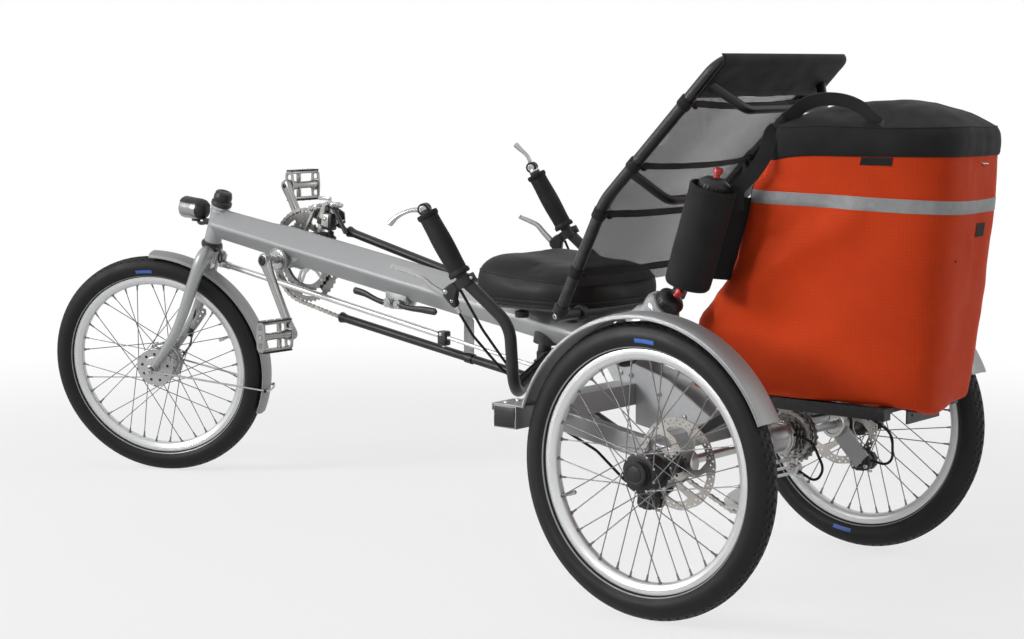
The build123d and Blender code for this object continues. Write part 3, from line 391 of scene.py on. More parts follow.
def newFinish(name, look):
    # look: base and shade colours, metallic, low and high gloss, grain, rub, dust and extras
    material = bpy.data.materials.new(name)
    material.use_nodes = True
    tree = material.node_tree
    shader = tree.nodes["Principled BSDF"].inputs
    where = tree.nodes.new("ShaderNodeTexCoord").outputs["Object"]
    drift = useGroup(tree, "toneDrift", Vector=where, Scale=look.get("driftScale", 11.0), Base=shade(look["base"]),
                     Shade=shade(look.get("shade", look["base"])), Amount=look.get("drift", 0.6))
    grain = useGroup(tree, "fineGrain", Vector=where, Scale=look.get("grainScale", 900.0), Low=look["gloss"][0],
                     High=look["gloss"][1])
    color, height, depth = drift[0], grain[1], look.get("grain", 0.05)
    if "weave" in look:
        cloth = put(tree, "UVMap", {"uv_map": "cloth"}).outputs[0]
        gapColor = shade(look["gapColor"])
        weave = useGroup(tree, "plainWeave", Vector=cloth, Threads=look["weave"], Grid=look.get("grid", 0.0),
                         Opening=look.get("opening", 0.55))
        color = mixColor(tree, math(tree, "MULTIPLY", weave[1], look.get("gap", 0.5)), color, gapColor)
        if "grid" in look:
            color = mixColor(tree, math(tree, "MULTIPLY", weave[2], 0.35), color, gapColor)
        height = math(tree, "ADD", weave[0], math(tree, "MULTIPLY", weave[2], 0.8))
        if "opening" in look:
            tree.links.new(math(tree, "SUBTRACT", 1.0, weave[1]), shader["Alpha"])
    if "leather" in look:
        height = useGroup(tree, "leatherGrain", Vector=where, Scale=look["leather"])[0]
    rub = useGroup(tree, "edgeRub", Vector=where, Base=color, Bare=shade(look.get("bare", look["base"])),
                   Amount=look.get("rub", 0.0))
    dust = useGroup(tree, "dustFilm", Vector=where, Base=rub[0], Roughness=grain[0], Amount=look.get("dust", 0.15))
    bump = put(tree, "Bump", None, Strength=look.get("bump", 0.4), Distance=depth / 1000, Height=height)
    tree.links.new(dust[0], shader["Base Color"])
    tree.links.new(dust[1], shader["Roughness"])
    tree.links.new(bump.outputs[0], shader["Normal"])
    shader["Metallic"].default_value = look.get("metallic", 0.0)
    for word, value in look.get("set", {}).items():
        shader[word].default_value = value
    finish[name] = material


looks = {
    "silverPaint": {"base": (0.35, 0.355, 0.36), "shade": (0.335, 0.34, 0.345), "metallic": 0.45, "gloss": (0.54, 0.6),
        "drift": 0.4, "grainScale": 1500, "grain": 0.004, "bump": 0.2, "rub": 0.12, "bare": 0.5, "dust": 0.0},
    "forkPaint": {"base": (0.38, 0.385, 0.39), "shade": (0.36, 0.365, 0.37), "metallic": 0.5, "gloss": (0.38, 0.45),
        "drift": 0.4, "grainScale": 1500, "grain": 0.004, "bump": 0.2, "rub": 0.12, "bare": 0.5, "dust": 0.0},
    "brightMetal": {"base": (0.42, 0.42, 0.415), "shade": (0.33, 0.33, 0.325), "metallic": 0.95, "gloss": (0.2, 0.32),
                    "grainScale": 700, "grain": 0.01, "rub": 0.3, "bare": (0.7, 0.7, 0.69), "dust": 0.02},
    "satinAlloy": {"base": 0.46, "shade": 0.40, "metallic": 0.8, "gloss": (0.3, 0.4),
                   "grainScale": 1100, "grain": 0.006, "bump": 0.3, "dust": 0.02},
    "rimAlloy": {"base": (0.66, 0.665, 0.67), "shade": (0.6, 0.605, 0.61), "metallic": 0.65, "gloss": (0.32, 0.4),
        "drift": 0.4, "grainScale": 1300, "grain": 0.004, "bump": 0.2, "dust": 0.01},
    "spokeSteel": {"base": 0.20, "shade": 0.13, "metallic": 0.9, "gloss": (0.28, 0.4), "dust": 0.02},
    "chainSteel": {"base": (0.30, 0.285, 0.265), "shade": (0.16, 0.15, 0.14), "metallic": 0.9, "gloss": (0.28, 0.5),
                   "driftScale": 40, "rub": 0.5, "bare": (0.6, 0.58, 0.55)},
    "sprocketSteel": {"base": (0.22, 0.218, 0.212), "shade": (0.13, 0.128, 0.122), "metallic": 0.95,
        "gloss": (0.25, 0.42), "driftScale": 30, "rub": 0.4, "bare": (0.6, 0.59, 0.57)},
    "rotorSteel": {"base": (0.52, 0.50, 0.47), "shade": (0.4, 0.38, 0.36), "metallic": 1.0, "gloss": (0.22, 0.36),
                   "driftScale": 30},
    "blackMetal": {"base": (0.006, 0.006, 0.0065), "shade": (0.010, 0.010, 0.011), "gloss": (0.36, 0.48),
        "grainScale": 1400, "grain": 0.03, "rub": 0.25, "bare": 0.10, "dust": 0.02,
        "set": {"Specular IOR Level": 0.4}},
    "blackPlastic": {"base": (0.007, 0.007, 0.0075), "shade": (0.011, 0.011, 0.012), "gloss": (0.34, 0.5),
        "grainScale": 1600, "grain": 0.05, "bump": 0.5, "dust": 0.025, "set": {"Specular IOR Level": 0.35}},
    "tyreRubber": {"base": (0.0052, 0.0052, 0.0055), "shade": (0.0085, 0.0082, 0.008), "gloss": (0.45, 0.62),
        "grainScale": 1200, "grain": 0.06, "dust": 0.018, "driftScale": 18, "set": {"Specular IOR Level": 0.25}},
    "gripRubber": {"base": 0.006, "shade": 0.010, "gloss": (0.6, 0.8), "grainScale": 2400,
                   "grain": 0.12, "bump": 0.6, "dust": 0.02, "set": {"Specular IOR Level": 0.25}},
    "saddleHide": {"base": (0.0035, 0.0035, 0.004), "shade": (0.005, 0.005, 0.0055), "gloss": (0.5, 0.6),
        "leather": 520, "grain": 0.1, "bump": 0.3, "dust": 0.0, "set": {"Specular IOR Level": 0.22}},
    "seatCloth": {"base": (0.020, 0.020, 0.022), "shade": (0.012, 0.012, 0.013), "gloss": (0.55, 0.75), "weave": 620,
                  "opening": 0.87, "gapColor": 0.02, "gap": 0.5, "grain": 0.3, "bump": 0.6, "dust": 0.02,
                  "set": {"Specular IOR Level": 0.3}},
    "blackCloth": {"base": (0.0055, 0.0055, 0.006), "shade": (0.010, 0.010, 0.0105), "gloss": (0.6, 0.8), "weave": 900,
                   "gapColor": 0.002, "grain": 0.25, "bump": 0.7, "dust": 0.012,
                   "set": {"Specular IOR Level": 0.22, "Sheen Weight": 0.04, "Sheen Roughness": 0.5}},
    "webbing": {"base": (0.006, 0.006, 0.0065), "shade": (0.011, 0.011, 0.012), "gloss": (0.42, 0.6), "weave": 700,
                "gapColor": 0.002, "grain": 0.5, "bump": 0.9, "dust": 0.01, "set": {"Specular IOR Level": 0.3}},
    "greyThread": {"base": 0.05, "gloss": (0.5, 0.6)},
    "redPlastic": {"base": (0.45, 0.012, 0.01), "shade": (0.34, 0.01, 0.008), "gloss": (0.25, 0.4), "driftScale": 60,
        "dust": 0.03},
    "clearPlastic": {"base": (0.44, 0.45, 0.46), "shade": (0.3, 0.31, 0.315), "metallic": 0.35, "gloss": (0.14, 0.24),
        "driftScale": 45, "dust": 0.0, "set": {"Transmission Weight": 0.1, "IOR": 1.4}},
    "speckledPlastic": {"base": (0.02, 0.02, 0.022), "shade": 0.5, "gloss": (0.15, 0.25), "driftScale": 420,
                        "drift": 0.9, "dust": 0.02},
    "orangeCloth": {"base": (0.74, 0.058, 0.003), "shade": (0.60, 0.040, 0.002), "gloss": (0.55, 0.7), "weave": 800,
                    "grid": 160, "gapColor": (0.36, 0.018, 0.002), "grain": 0.3, "bump": 0.6, "dust": 0.0,
                    "set": {"Specular IOR Level": 0.2, "Sheen Weight": 0.03, "Sheen Roughness": 0.5}},
    "greyTape": {"base": (0.32, 0.325, 0.33), "shade": (0.24, 0.245, 0.25), "metallic": 0.2, "gloss": (0.5, 0.6),
                 "weave": 1400, "gapColor": 0.2, "grain": 0.05, "driftScale": 60, "drift": 0.9},
    "fenderAlloy": {"base": (0.31, 0.312, 0.315), "shade": (0.29, 0.292, 0.295), "metallic": 0.5, "gloss": (0.5, 0.56),
        "drift": 0.4, "grainScale": 1300, "grain": 0.004, "bump": 0.2, "rub": 0.12, "bare": 0.6, "dust": 0.0},
    "greyBand": {"base": (0.35, 0.36, 0.36), "shade": 0.22, "metallic": 0.3, "gloss": (0.3, 0.45), "driftScale": 50},
    "bluePatch": {"base": (0.045, 0.15, 0.52), "shade": (0.03, 0.1, 0.38), "gloss": (0.45, 0.6), "driftScale": 60},
    "polishedAlloy": {"base": (0.33, 0.33, 0.325), "shade": (0.27, 0.27, 0.265), "metallic": 0.95,
        "gloss": (0.24, 0.34), "grainScale": 900, "grain": 0.006, "bump": 0.3, "dust": 0.02},
    "lampGlass": {"base": 0.9, "gloss": (0.02, 0.05), "dust": 0.0, "set": {"Transmission Weight": 0.95, "IOR": 1.35}},
    "paleWindow": {"base": (0.55, 0.56, 0.5), "shade": (0.45, 0.46, 0.4), "gloss": (0.2, 0.3), "dust": 0.02},
    "weldMetal": {"base": (0.26, 0.26, 0.265), "shade": (0.2, 0.2, 0.205), "metallic": 0.5, "gloss": (0.35, 0.5),
        "driftScale": 90, "dust": 0.02},
    "bottlePlastic": {"base": (0.04, 0.04, 0.042), "shade": (0.06, 0.06, 0.062), "gloss": (0.25, 0.4)},
}
for word, look in looks.items():
    newFinish(word, look)
print("finishes made:", len(finish))

nodeFinish = {
    "silverPaint": ["front_boom", "main_tube", "frame_gussets"],
    "forkPaint": ["fork", "rear_frame"],
    "brightMetal": ["steering_rod", "crank_arms", "left_pedal", "right_pedal", "shifters", "brake_levers", "headlamp"],
    "satinAlloy": ["left_fender", "right_fender", "front_fender", "front_hub", "centre_bearing"],
    "rimAlloy": ["front_rim", "left_rim", "right_rim"],
    "spokeSteel": ["front_spokes", "left_spokes", "right_spokes"],
    "chainSteel": ["chain"],
    "sprocketSteel": ["cassette", "chainrings"],
    "rotorSteel": ["left_brake_rotor", "right_brake_rotor"],
    "blackMetal": ["handlebar", "handlebar_clamp", "seat_frame", "seat_pan", "luggage_rack", "steering_cap",
        "clamp_levers", "rear_derailleur", "front_derailleur", "brake_calipers", "bar_pivot_housing"],
    "blackPlastic": ["left_hub", "right_hub", "chain_tubes"],
    "tyreRubber": ["front_tyre", "left_tyre", "right_tyre"],
    "gripRubber": ["grips", "bar_cables", "frame_cables"],
    "saddleHide": ["seat_cushion"],
    "seatCloth": ["seat_mesh"],
    "blackCloth": ["seat_flap", "bag_lid", "bag_handle", "bottle_pouch"],
    "orangeCloth": ["bag_shell"],
    "bottlePlastic": ["pouch_bottle", "frame_bottle"],
}
for word, names in nodeFinish.items():
    for name in names:
        node = frame["nodes"].get(name)
        if node:
            node.data.materials.clear()
            node.data.materials.append(finish[word])
print("frame finishes set")


# camera, light and ground
view = {"at": (3137.8, 2015.9, 928.8), "azimuth": 129.70, "elevation": 6.98, "lens": 73.21}
camera = bpy.data.objects.new("camera", bpy.data.cameras.new("camera"))
bpy.context.scene.collection.objects.link(camera)
azimuth, elevation = radians(view["azimuth"]), radians(view["elevation"])
backward = Vector((sin(azimuth) * cos(elevation), -cos(azimuth) * cos(elevation), sin(elevation)))
camera.location = toScene @ Vector(view["at"])
camera.rotation_euler = (-backward).to_track_quat("-Z", "Y").to_euler()
camera.data.lens = view["lens"]
bpy.context.scene.camera = camera
bpy.context.scene.view_settings.view_transform = "Standard"

studioWorld = 0.2       # strength of the world on the object
studio = {
    # name: place, size, power, what it is aimed at, spread in degrees
    "keyLight": ((3.6, -2.4, 2.3), 1.6, 124.0),
    "flankLight": ((3.1, -0.7, 1.5), 0.7, 1.6, (0.22, 0.40, 0.56), 25.0),
    "fillLight": ((3.6, 3.0, 2.0), 3.0, 4.0),
    "backLight": ((-1.8, 3.6, 2.2), 2.2, 28.0),
    "topLight": ((0.2, -0.6, 3.8), 3.2, 11.0),
}
studioAim = (0, 0, 0.45)
for word, (place, size, power, *aimed) in studio.items():
    lamp = bpy.data.lights.new(word, "AREA")
    lamp.energy, lamp.size = power, size
    made = bpy.data.objects.new(word, lamp)
    made.location = place
    if aimed:
        lamp.spread = radians(aimed[1])
    target = Vector(aimed[0] if aimed else studioAim)
    made.rotation_euler = (target - Vector(place)).to_track_quat("-Z", "Y").to_euler()
    bpy.context.scene.collection.objects.link(made)


def seenDirectly(tree):
    # 1 for what the camera, a gloss or a glass looks at
    path = tree.nodes.new("ShaderNodeLightPath").outputs
    direct = math(tree, "MAXIMUM", path["Is Camera Ray"], path["Is Glossy Ray"])
    return math(tree, "MAXIMUM", direct, path["Is Transmission Ray"])


world = bpy.data.worlds.new("studio")
bpy.context.scene.world = world
world.use_nodes = True
tree = world.node_tree
seen = seenDirectly(tree)
strength = put(tree, "Mix", {"data_type": "FLOAT"}, s0=seen, s2=studioWorld, s3=1.0).outputs[0]
tree.nodes["Background"].inputs[0].default_value = (1, 1, 1, 1)
tree.links.new(strength, tree.nodes["Background"].inputs[1])

floorFade = {"near": 1.2, "far": 3.0, "least": 0.72}      # metres from the middle, and how white it is there
ground = bmesh.new()
bmesh.ops.create_grid(ground, x_segments=2, y_segments=2, size=40)
mesh = bpy.data.meshes.new("ground")
ground.to_mesh(mesh)
ground.free()
floorPlane = bpy.data.objects.new("ground", mesh)
floorPlane.location = (0, 0, -0.0005)
bpy.context.scene.collection.objects.link(floorPlane)
material = bpy.data.materials.new("groundWhite")
material.use_nodes = True
tree = material.node_tree
shader = tree.nodes["Principled BSDF"]
shader.inputs["Base Color"].default_value = (0.86, 0.86, 0.86, 1)
shader.inputs["Roughness"].default_value = 0.9
shader.inputs["Specular IOR Level"].default_value = 0.1
glow = put(tree, "Emission", None, Color=(1, 1, 1, 1), Strength=1.0)
far = put(tree, "VectorMath", {"operation": "LENGTH"}, s0=tree.nodes.new("ShaderNodeNewGeometry").outputs["Position"])
fade = put(tree, "MapRange", {"interpolation_type": "SMOOTHSTEP"}, s0=far.outputs["Value"], s1=floorFade["near"],
        s2=floorFade["far"], s3=floorFade["least"], s4=1.0)
seen = seenDirectly(tree)
blend = put(tree, "MixShader", None, s0=math(tree, "MULTIPLY", fade.outputs[0], seen), s1=shader.outputs[0],
        s2=glow.outputs[0])
tree.links.new(blend.outputs[0], tree.nodes["Material Output"].inputs[0])
mesh.materials.append(material)
print("studio set")

tyre = {"radius": 253.0, "section": 25.0, "steps": 252, "sipeDepth": 1.2,
        "patchSpan": 9.0, "patchBand": (94.0, 112.0), "stripeBand": (132.0, 138.0),
        # angles over half of the section, in degrees, and the depth of its lines
        "stops": (-148, -144, -140, -138, -132, -126, -118, -112, -103, -94, -84, -74, -64, -57, -50, -40, -30, -20,
            -18.5, -9, 0),
        "shoulder": 52, "wallDrop": 0.9, "grooves": {20: 1.3, 18.5: 1.3, 118: 0.5, 126: 0.5}}
tyreTurns = {"front": (90.5, 20.0), "left": (88.0, 200.0), "right": (278.0, 65.0)}     # blue patch, valve


def tyreAngle(x, radius):
    return atan2(x, radius - (tyre["radius"] - tyre["section"]))


def makeTyre(word):
    middle = tyre["radius"] - tyre["section"]
    stops = list(tyre["stops"])
    stops += [-s for s in reversed(stops[:-1])]
    profile = []
    for s in stops:
        drop = 0.0 if abs(s) < tyre["shoulder"] else tyre["wallDrop"]
        drop += tyre["grooves"].get(abs(s), 0.0)
        reach = tyre["section"] - drop
        profile.append((reach * sin(radians(s)), middle + reach * cos(radians(s))))
    bm = lathe(profile, tyre["steps"])
    patchAt = tyreTurns[word][0]
    sipes = []
    for face in bm.faces:
        co = face.calc_center_median()
        turn = atan2(co.z, co.y)
        step = round(turn / (2 * pi) * tyre["steps"] - 0.5)
        lean = tyreAngle(co.x, hypot(co.y, co.z))
        slant = abs(degrees(lean))
        if tyre["stripeBand"][0] < slant < tyre["stripeBand"][1]:
            face.material_index = 1
        away = (degrees(turn) - patchAt + 180) % 360 - 180
        if tyre["patchBand"][0] < slant < tyre["patchBand"][1] and abs(away) < tyre["patchSpan"] / 2:
            face.material_index = 2
        if slant < 45 and not 18 < slant < 20.5:      # short cuts in slanted rows over the tread
            column = int(slant / 10)
            if (step + column * (1 if lean > 0 else -1)) % 3 == 0:
                sipes.append(face)
    bmesh.ops.inset_individual(bm, faces=sipes, thickness=0.9, depth=-tyre["sipeDepth"], use_even_offset=True)
    makePiece(word + "Tyre", bm, ["tyreRubber", "greyBand", "bluePatch"], wheelBody[word], [word + "_tyre"],
              wheelSpaces[word], 40, normals=False)


rim = {"bed": 188.3, "spokes": 18, "cross": 60.0}
spokeEnds = {"front": (43.0, 29.0, -29.0), "left": (32.5, 22.0, -24.0), "right": (32.5, 22.0, -24.0)}


def spokeLines(word):
    # both ends of every spoke, as they are laced
    flange, outer, inner = spokeEnds[word]
    lines = []
    for at, side in ((outer, 1), (inner, -1)):
        for i in range(rim["spokes"]):
            lean = 1 if i % 2 else -1
            start = radians((0 if side > 0 else 10) + i * 20)
            end = start + lean * radians(rim["cross"])
            hub = Vector((at + side * lean * 3.3, flange * cos(start), flange * sin(start)))
            lines.append((hub, Vector((side * (3 + lean * 1.6), rim["bed"] * cos(end), rim["bed"] * sin(end))), at,
                    side * lean))
    return lines


def makeRim(word):
    half = [(0, 188.0), (3.4, 188.3), (6.6, 189.6), (9.2, 192.3), (11.2, 196.2), (12.2, 198.6), (12.7, 199.4),
            (12.7, 201.2), (12.45, 201.5), (12.45, 201.9), (12.7, 202.2), (12.7, 207.2), (12.2, 208.2), (11.2, 208.2),
            (10.9, 207.6), (10.9, 202.0), (8.6, 199.6), (4, 198.6), (0, 198.5)]
    profile = half + [(-x, r) for x, r in reversed(half[1:-1])]
    bm = lathe(profile, 160, loop=True)
    for hub, end, *_ in spokeLines(word):
        inward = (hub - end).normalized()
        addTo(bm, pin(end - inward * 2.5, end + inward * 12, 2.3, 7, 0.5, 1.7), tint=1)
        addTo(bm, pin(end - inward * 1.5, end + inward * 1.2, 3.6, 9, 0.4), tint=1)
    stem = lathe([(-4, 0), (-4, 5.5), (1.5, 5.5), (2, 3.2), (14, 3.1), (14.5, 4.0), (26, 4.0), (27.5, 3.0), (27.5, 0)],
            12)
    turn = turned(radians(tyreTurns[word][1])) @ moved(0, rim["bed"], 0) @ frontX
    addTo(bm, stem, turn, 2)
    makePiece(word + "Rim", bm, ["rimAlloy", "spokeSteel", "brightMetal"], wheelBody[word], [word + "_rim"],
              wheelSpaces[word], 28)


def spokeHeads(bm, word, tint):
    for hub, _, at, way in spokeLines(word):
        face = at + way * 1.6
        head = lathe([(0, 2.6), (1.0, 2.3), (1.7, 1.3), (1.9, 0)], 8)
        addTo(bm, head, moved(face, hub.y, hub.z) @ flip(way), tint)


def makeFrontHub():
    side = [(38.5, 0), (38.5, 4.2), (37.8, 5), (34, 5), (34, 9.5), (33, 10.4), (32, 10.6), (32, 17), (31.2, 19),
            (31.2, 24), (30.6, 25), (30.6, 42.8), (29.9, 44), (28.1, 44), (27.4, 43), (27.4, 37), (25.5, 34.6),
            (20, 34), (6, 33.2)]
    bm = lathe(side + [(-x, r) for x, r in reversed(side)], 72)
    for ring in around(9, radians(6)):
        for way in (1, -1):
            addTo(bm, lathe([(0.1, 3.4), (0.35, 3.2), (0.35, 0)], 14), ring @ moved(way * 30.6, 31, 0) @ flip(way), 1)
    spokeHeads(bm, "front", 0)
    makePiece("frontHub", bm, ["satinAlloy", "blackPlastic"], "front_wheel", ["front_hub"],
            wheelSpaces["front"], 30)


def makeRearHub(word):
    end = (12.0 if word == "left" else 47.0) - layout["wheelX"]      # inner end of the half shaft
    bm = lathe([(38, 0), (38, 12.6), (37.6, 13.6), (36.6, 14.4), (36.9, 15.2), (36.2, 20.5), (34.8, 22), (27, 22.4),
            (26.4, 23.4), (24.4, 24), (24, 32), (23.2, 33.5), (20.8, 33.5), (20, 32.4), (19, 27), (14, 24.4),
            (-15, 24.4), (-20.5, 26), (-22, 32.4), (-22.8, 33.5), (-25.2, 33.5), (-26, 32), (-26.6, 24), (-34, 21),
            (-36, 20), (-60, 20), (-64, 18.5), (-64, 8)], 72)
    for ring in around(6, 0.3):
        addTo(bm, lathe([(0, 2.6), (2, 2.4), (2.4, 1.9), (2.4, 1.2), (1, 1.0), (1, 0)], 6), ring @ moved(-64, 14, 0)
                @ flip(-1), 1)
    addTo(bm, lathe([(-64, 8), (-66, 8), (end, 8), (end, 0)], 28), tint=1)
    spokeHeads(bm, word, 1)
    makePiece(word + "Hub", bm, ["blackPlastic", "satinAlloy"], word + "_wheel", [word + "_hub"],
            wheelSpaces[word], 30)


rotor = {"radius": 79.4, "wave": 0.6, "thickness": 1.9, "x": -87.0,
         # radius and angle round one of the six windows
         "window": ((61, 0.16), (64.5, 0.34), (64.8, 0.55), (64.5, 0.76), (61, 0.92), (44, 0.62), (31, 0.36),
             (28, 0.12), (29.5, -0.12), (33, -0.22), (48, -0.08))}


def makeRotor(word):
    edge = [((rotor["radius"] + rotor["wave"] * sin(12 * a)) * cos(a), (rotor["radius"] + rotor["wave"] * sin(12 * a))
            * sin(a)) for a in turns(144)]
    holes = [(75.2 * cos(a), 75.2 * sin(a), 1.9) for a in turns(36)]
    holes += [(69.6 * cos(a), 69.6 * sin(a), 1.9) for i, a in enumerate(turns(36, 0.5)) if i % 6 != 5]
    for start in turns(6):
        holes.append(polar(rotor["window"], start))
    holes += [(20 * cos(a), 20 * sin(a), 2.6) for a in turns(6, 0.5)]
    holes.append(ringOf(0, 0, 13, 30))
    bm = plate(edge, rotor["thickness"], holes, round=0.25)
    bm.transform(moved(rotor["x"], 0, 0))
    addTo(bm, lathe([(-3.5, 8.2), (-3.5, 15.5), (-1, 16.5), (1, 16.5), (3.5, 15.5), (3.5, 8.2)], 36, loop=True),
            moved(rotor["x"], 0, 0), 1)
    for ring in around(6, pi / 6):
        addTo(bm, lathe([(0, 4.2), (1.6, 4.0), (2.0, 3.2), (2.0, 1.9), (0.8, 1.7), (0.8, 0)], 12),
                ring @ moved(rotor["x"] - 0.95, 20, 0) @ flip(-1), 1)
    makePiece(word + "BrakeRotor", bm, ["rotorSteel", "blackMetal"], word + "_wheel", [word + "_brake_rotor"],
            wheelSpaces[word], 30)


wheelBody = {"front": "front_wheel", "left": "left_wheel", "right": "right_wheel"}
for word in wheelBody:
    makeTyre(word)
    makeRim(word)
makeFrontHub()
for word in ("left", "right"):
    makeRearHub(word)
    makeRotor(word)
print("wheels made")


rearFender = {"radius": 266.0, "half": 29.0, "low": 24.0, "high": 161.0, "foot": 338.3, "wall": 2.2, "crown": 5.0}
frontFender = {"radius": 262.0, "half": 23.0, "wall": 2.2, "crown": 5.0, "low": -25.5, "high": 87.0, "stayEnd": -56.0}


def fenderShell(look, steps):
    half, wall, crown = look["half"], look["wall"], look["crown"]
    outer = []
    for s in (-1, -0.985, -0.93, -0.8, -0.6, -0.35, 0, 0.35, 0.6, 0.8, 0.93, 0.985, 1):
        fall = crown * abs(s) ** 3.2 + (3.5 if abs(s) > 0.98 else 0)
        outer.append((s * half, look["radius"] + wall + 1 - fall))
    inner = [(x * (half - 1.4) / half, r - wall) for x, r in reversed(outer)]
    span = radians(look["high"] - look["low"])
    bm = lathe(outer + inner, steps, span, loop=True)
    ends = [e for e in bm.edges if e.is_boundary]
    bmesh.ops.holes_fill(bm, edges=ends, sides=0)
    for side in (1, -1):       # rolled beads along both edges
        bead = lathe([(side * half + 1.3 * cos(a), look["radius"] + wall - crown - 2.6 + 1.3 * sin(a))
                for a in turns(8)], steps, span, loop=True)
        bmesh.ops.holes_fill(bead, edges=[e for e in bead.edges if e.is_boundary], sides=0)
        addTo(bm, bead)
    bm.transform(turned(radians(look["low"])))
    return bm


def boltHead(radius=4.0, height=3.0):
    # round button head with a hexagon socket, standing along +x
    return lathe([(0, radius), (height * 0.35, radius), (height * 0.8, radius * 0.85), (height, radius * 0.6),
            (height, radius * 0.42), (height * 0.4, radius * 0.4), (height * 0.4, 0)], 12)


def makeRearFender(word, side):
    look = rearFender
    bm = fenderShell(look, 72)
    bm.transform(moved(side * layout["wheelX"], 0, layout["axleZ"]))
    footBack = -(look["radius"] + 2) * cos(radians(180 - look["high"])) + 6
    foot = block((2 * look["half"] + 2, footBack - (layout["beamY"] - 27), 2.4),
            (side * layout["wheelX"], (footBack + layout["beamY"] - 27) / 2, look["foot"] + 1.3), 0.8)
    addTo(bm, foot)
    addTo(bm, block((2 * look["half"] + 2, 2.4, 13), (side * layout["wheelX"], layout["beamY"] - 27,
            look["foot"] - 4.0), 0.9))
    for x in (-16, 16):
        addTo(bm, boltHead(5, 3.5), moved(side * layout["wheelX"] + x, layout["beamY"] - 6, look["foot"] + 2.4) @ upX,
                1)
    makePiece(word + "Fender", bm, ["fenderAlloy", "brightMetal"], "frame", [word + "_fender"],
            smooth=40)


makeRearFender("left", 1)
makeRearFender("right", -1)


def makeFrontFender():
    look = frontFender
    toWheel = forkSpace.inverted() @ wheelSpaces["front"]
    bm = fenderShell(look, 64)
    bm.transform(toWheel)
    hub = toWheel @ Vector((0, 0, 0))
    for side in (1, -1):
        eye = hub + Vector((side * 60.5, 0, 0))
        edge = toWheel @ Vector((side * (look["half"] + 2), sqrt(look["radius"] ** 2 - look["stayEnd"] ** 2),
                look["stayEnd"]))
        addTo(bm, pin(eye, edge, 2.3, 10), tint=1)
        addTo(bm, tube([edge + Vector((0, -2, 0)), edge + Vector((0, 5, 0)), edge + Vector((-side * 9, 10, 0)),
                edge + Vector((-side * 22, 10, 0))], 2.3), tint=1)
        addTo(bm, lathe([(-2.5, 4.6), (-2.5, 6.2), (2.5, 6.2), (2.5, 4.6)], 20, loop=True), moved(eye), 1)
        addTo(bm, boltHead(4.4, 3), moved(eye + Vector((side * 2.5, 0, 0))) @ flip(side), 1)
        addTo(bm, boltHead(4.0, 3), moved(edge + Vector((side * 1.5, 3, 0))) @ flip(side), 2)
    # bracket that hangs the fender from the crown
    addTo(bm, block((24, 3, 30), (0, 12, 277), 1.0), tint=1)
    addTo(bm, boltHead(4.4, 3), moved(0, 13.5, 282) @ backX, 1)
    makePiece("frontFender", bm, ["fenderAlloy", "brightMetal", "blackPlastic"], "fork", ["front_fender"],
            forkSpace, 40)


makeFrontFender()
print("fenders made")


def skin(rows, closed=True, capLow=False, capHigh=False):
    # soft skin over rows of outlines
    bm = bmesh.new()
    loops = []
    for row in rows:
        verts = [bm.verts.new(point) for point in row]
        pairs = list(zip(verts, verts[1:] + verts[:1])) if closed else list(zip(verts, verts[1:]))
        loops.append([bm.edges.new(pair) for pair in pairs])
    for low, high in zip(loops, loops[1:]):
        bmesh.ops.bridge_loops(bm, edges=low + high)
    for wanted, loop in ((capLow, loops[0]), (capHigh, loops[-1])):
        if wanted:
            bmesh.ops.contextual_create(bm, geom=loop)
    bmesh.ops.recalc_face_normals(bm, faces=bm.faces)
    return bm


bag = {"low": 364.0, "seam": 778.0, "lowRow": (-60.0, 371.0, 167.0, 97.0), "highRow": (92.0, 413.0, 188.0, 109.0),
        "square": 5.2, "swell": 5.0, "steps": 168, "stripe": (692.0, 714.0), "rimHigh": 826.0,
        "flare": ((300, 16), (364, 24), (440, 40), (487, 44), (523, 24), (560, 9), (600, 6), (660, 9), (735, 12),
        (778, 1), (900, 0)), "crown": 874.0}


def squareness(angle, power):
    # reach of a rounded square at an angle
    return (abs(cos(angle)) ** power + abs(sin(angle)) ** power) ** (-1 / power)


def bell(x):
    # falls from 1 at the middle to nothing at both sides
    return 2.718 ** (-x ** 2)


def clamp(x):
    return max(0.0, min(1.0, x))


def bagOutline(turn, f):
    # point on the bag's outline and its outward direction; turn 0 is the rider's left, a quarter is the back
    front, rear, wide, narrow = [a + (b - a) * f for a, b in zip(bag["lowRow"], bag["highRow"])]
    a, n = 2 * pi * turn, bag["square"]
    reach = squareness(a, n)
    along, across = reach * sin(a), reach * cos(a)
    depth = (rear - front) / 2
    half = narrow + (wide - narrow) * (1 - along) / 2
    out = Vector((abs(across) ** (n - 1) * (1 if across > 0 else -1) / half,
                  abs(along) ** (n - 1) * (1 if along > 0 else -1) / depth, 0)).normalized()
    return Vector((across * half, (front + rear) / 2 + along * depth, 0)), out


def crease(p, start, end, depth, width):
    # soft fold along a line on the side of the bag
    a, b = Vector(start), Vector(end)
    q = Vector((p.y, p.z))
    t = clamp((q - a).dot(b - a) / (b - a).length_squared)
    off = q - (a + (b - a) * t)
    side = off.dot(Vector((-(b - a).y, (b - a).x)).normalized())
    shape = bell(off.length / width)
    return depth * shape * (0.4 - side / width)


folds = (
    # start and end (y, z), depth, width
    ((40, 560), (250, 690), 7.0, 30.0),
    ((70, 745), (190, 716), 4.0, 20.0),
    ((0, 520), (120, 600), 5.0, 36.0),
    ((150, 450), (330, 640), 4.0, 60.0),
    ((-20, 430), (160, 400), 3.5, 32.0),
)


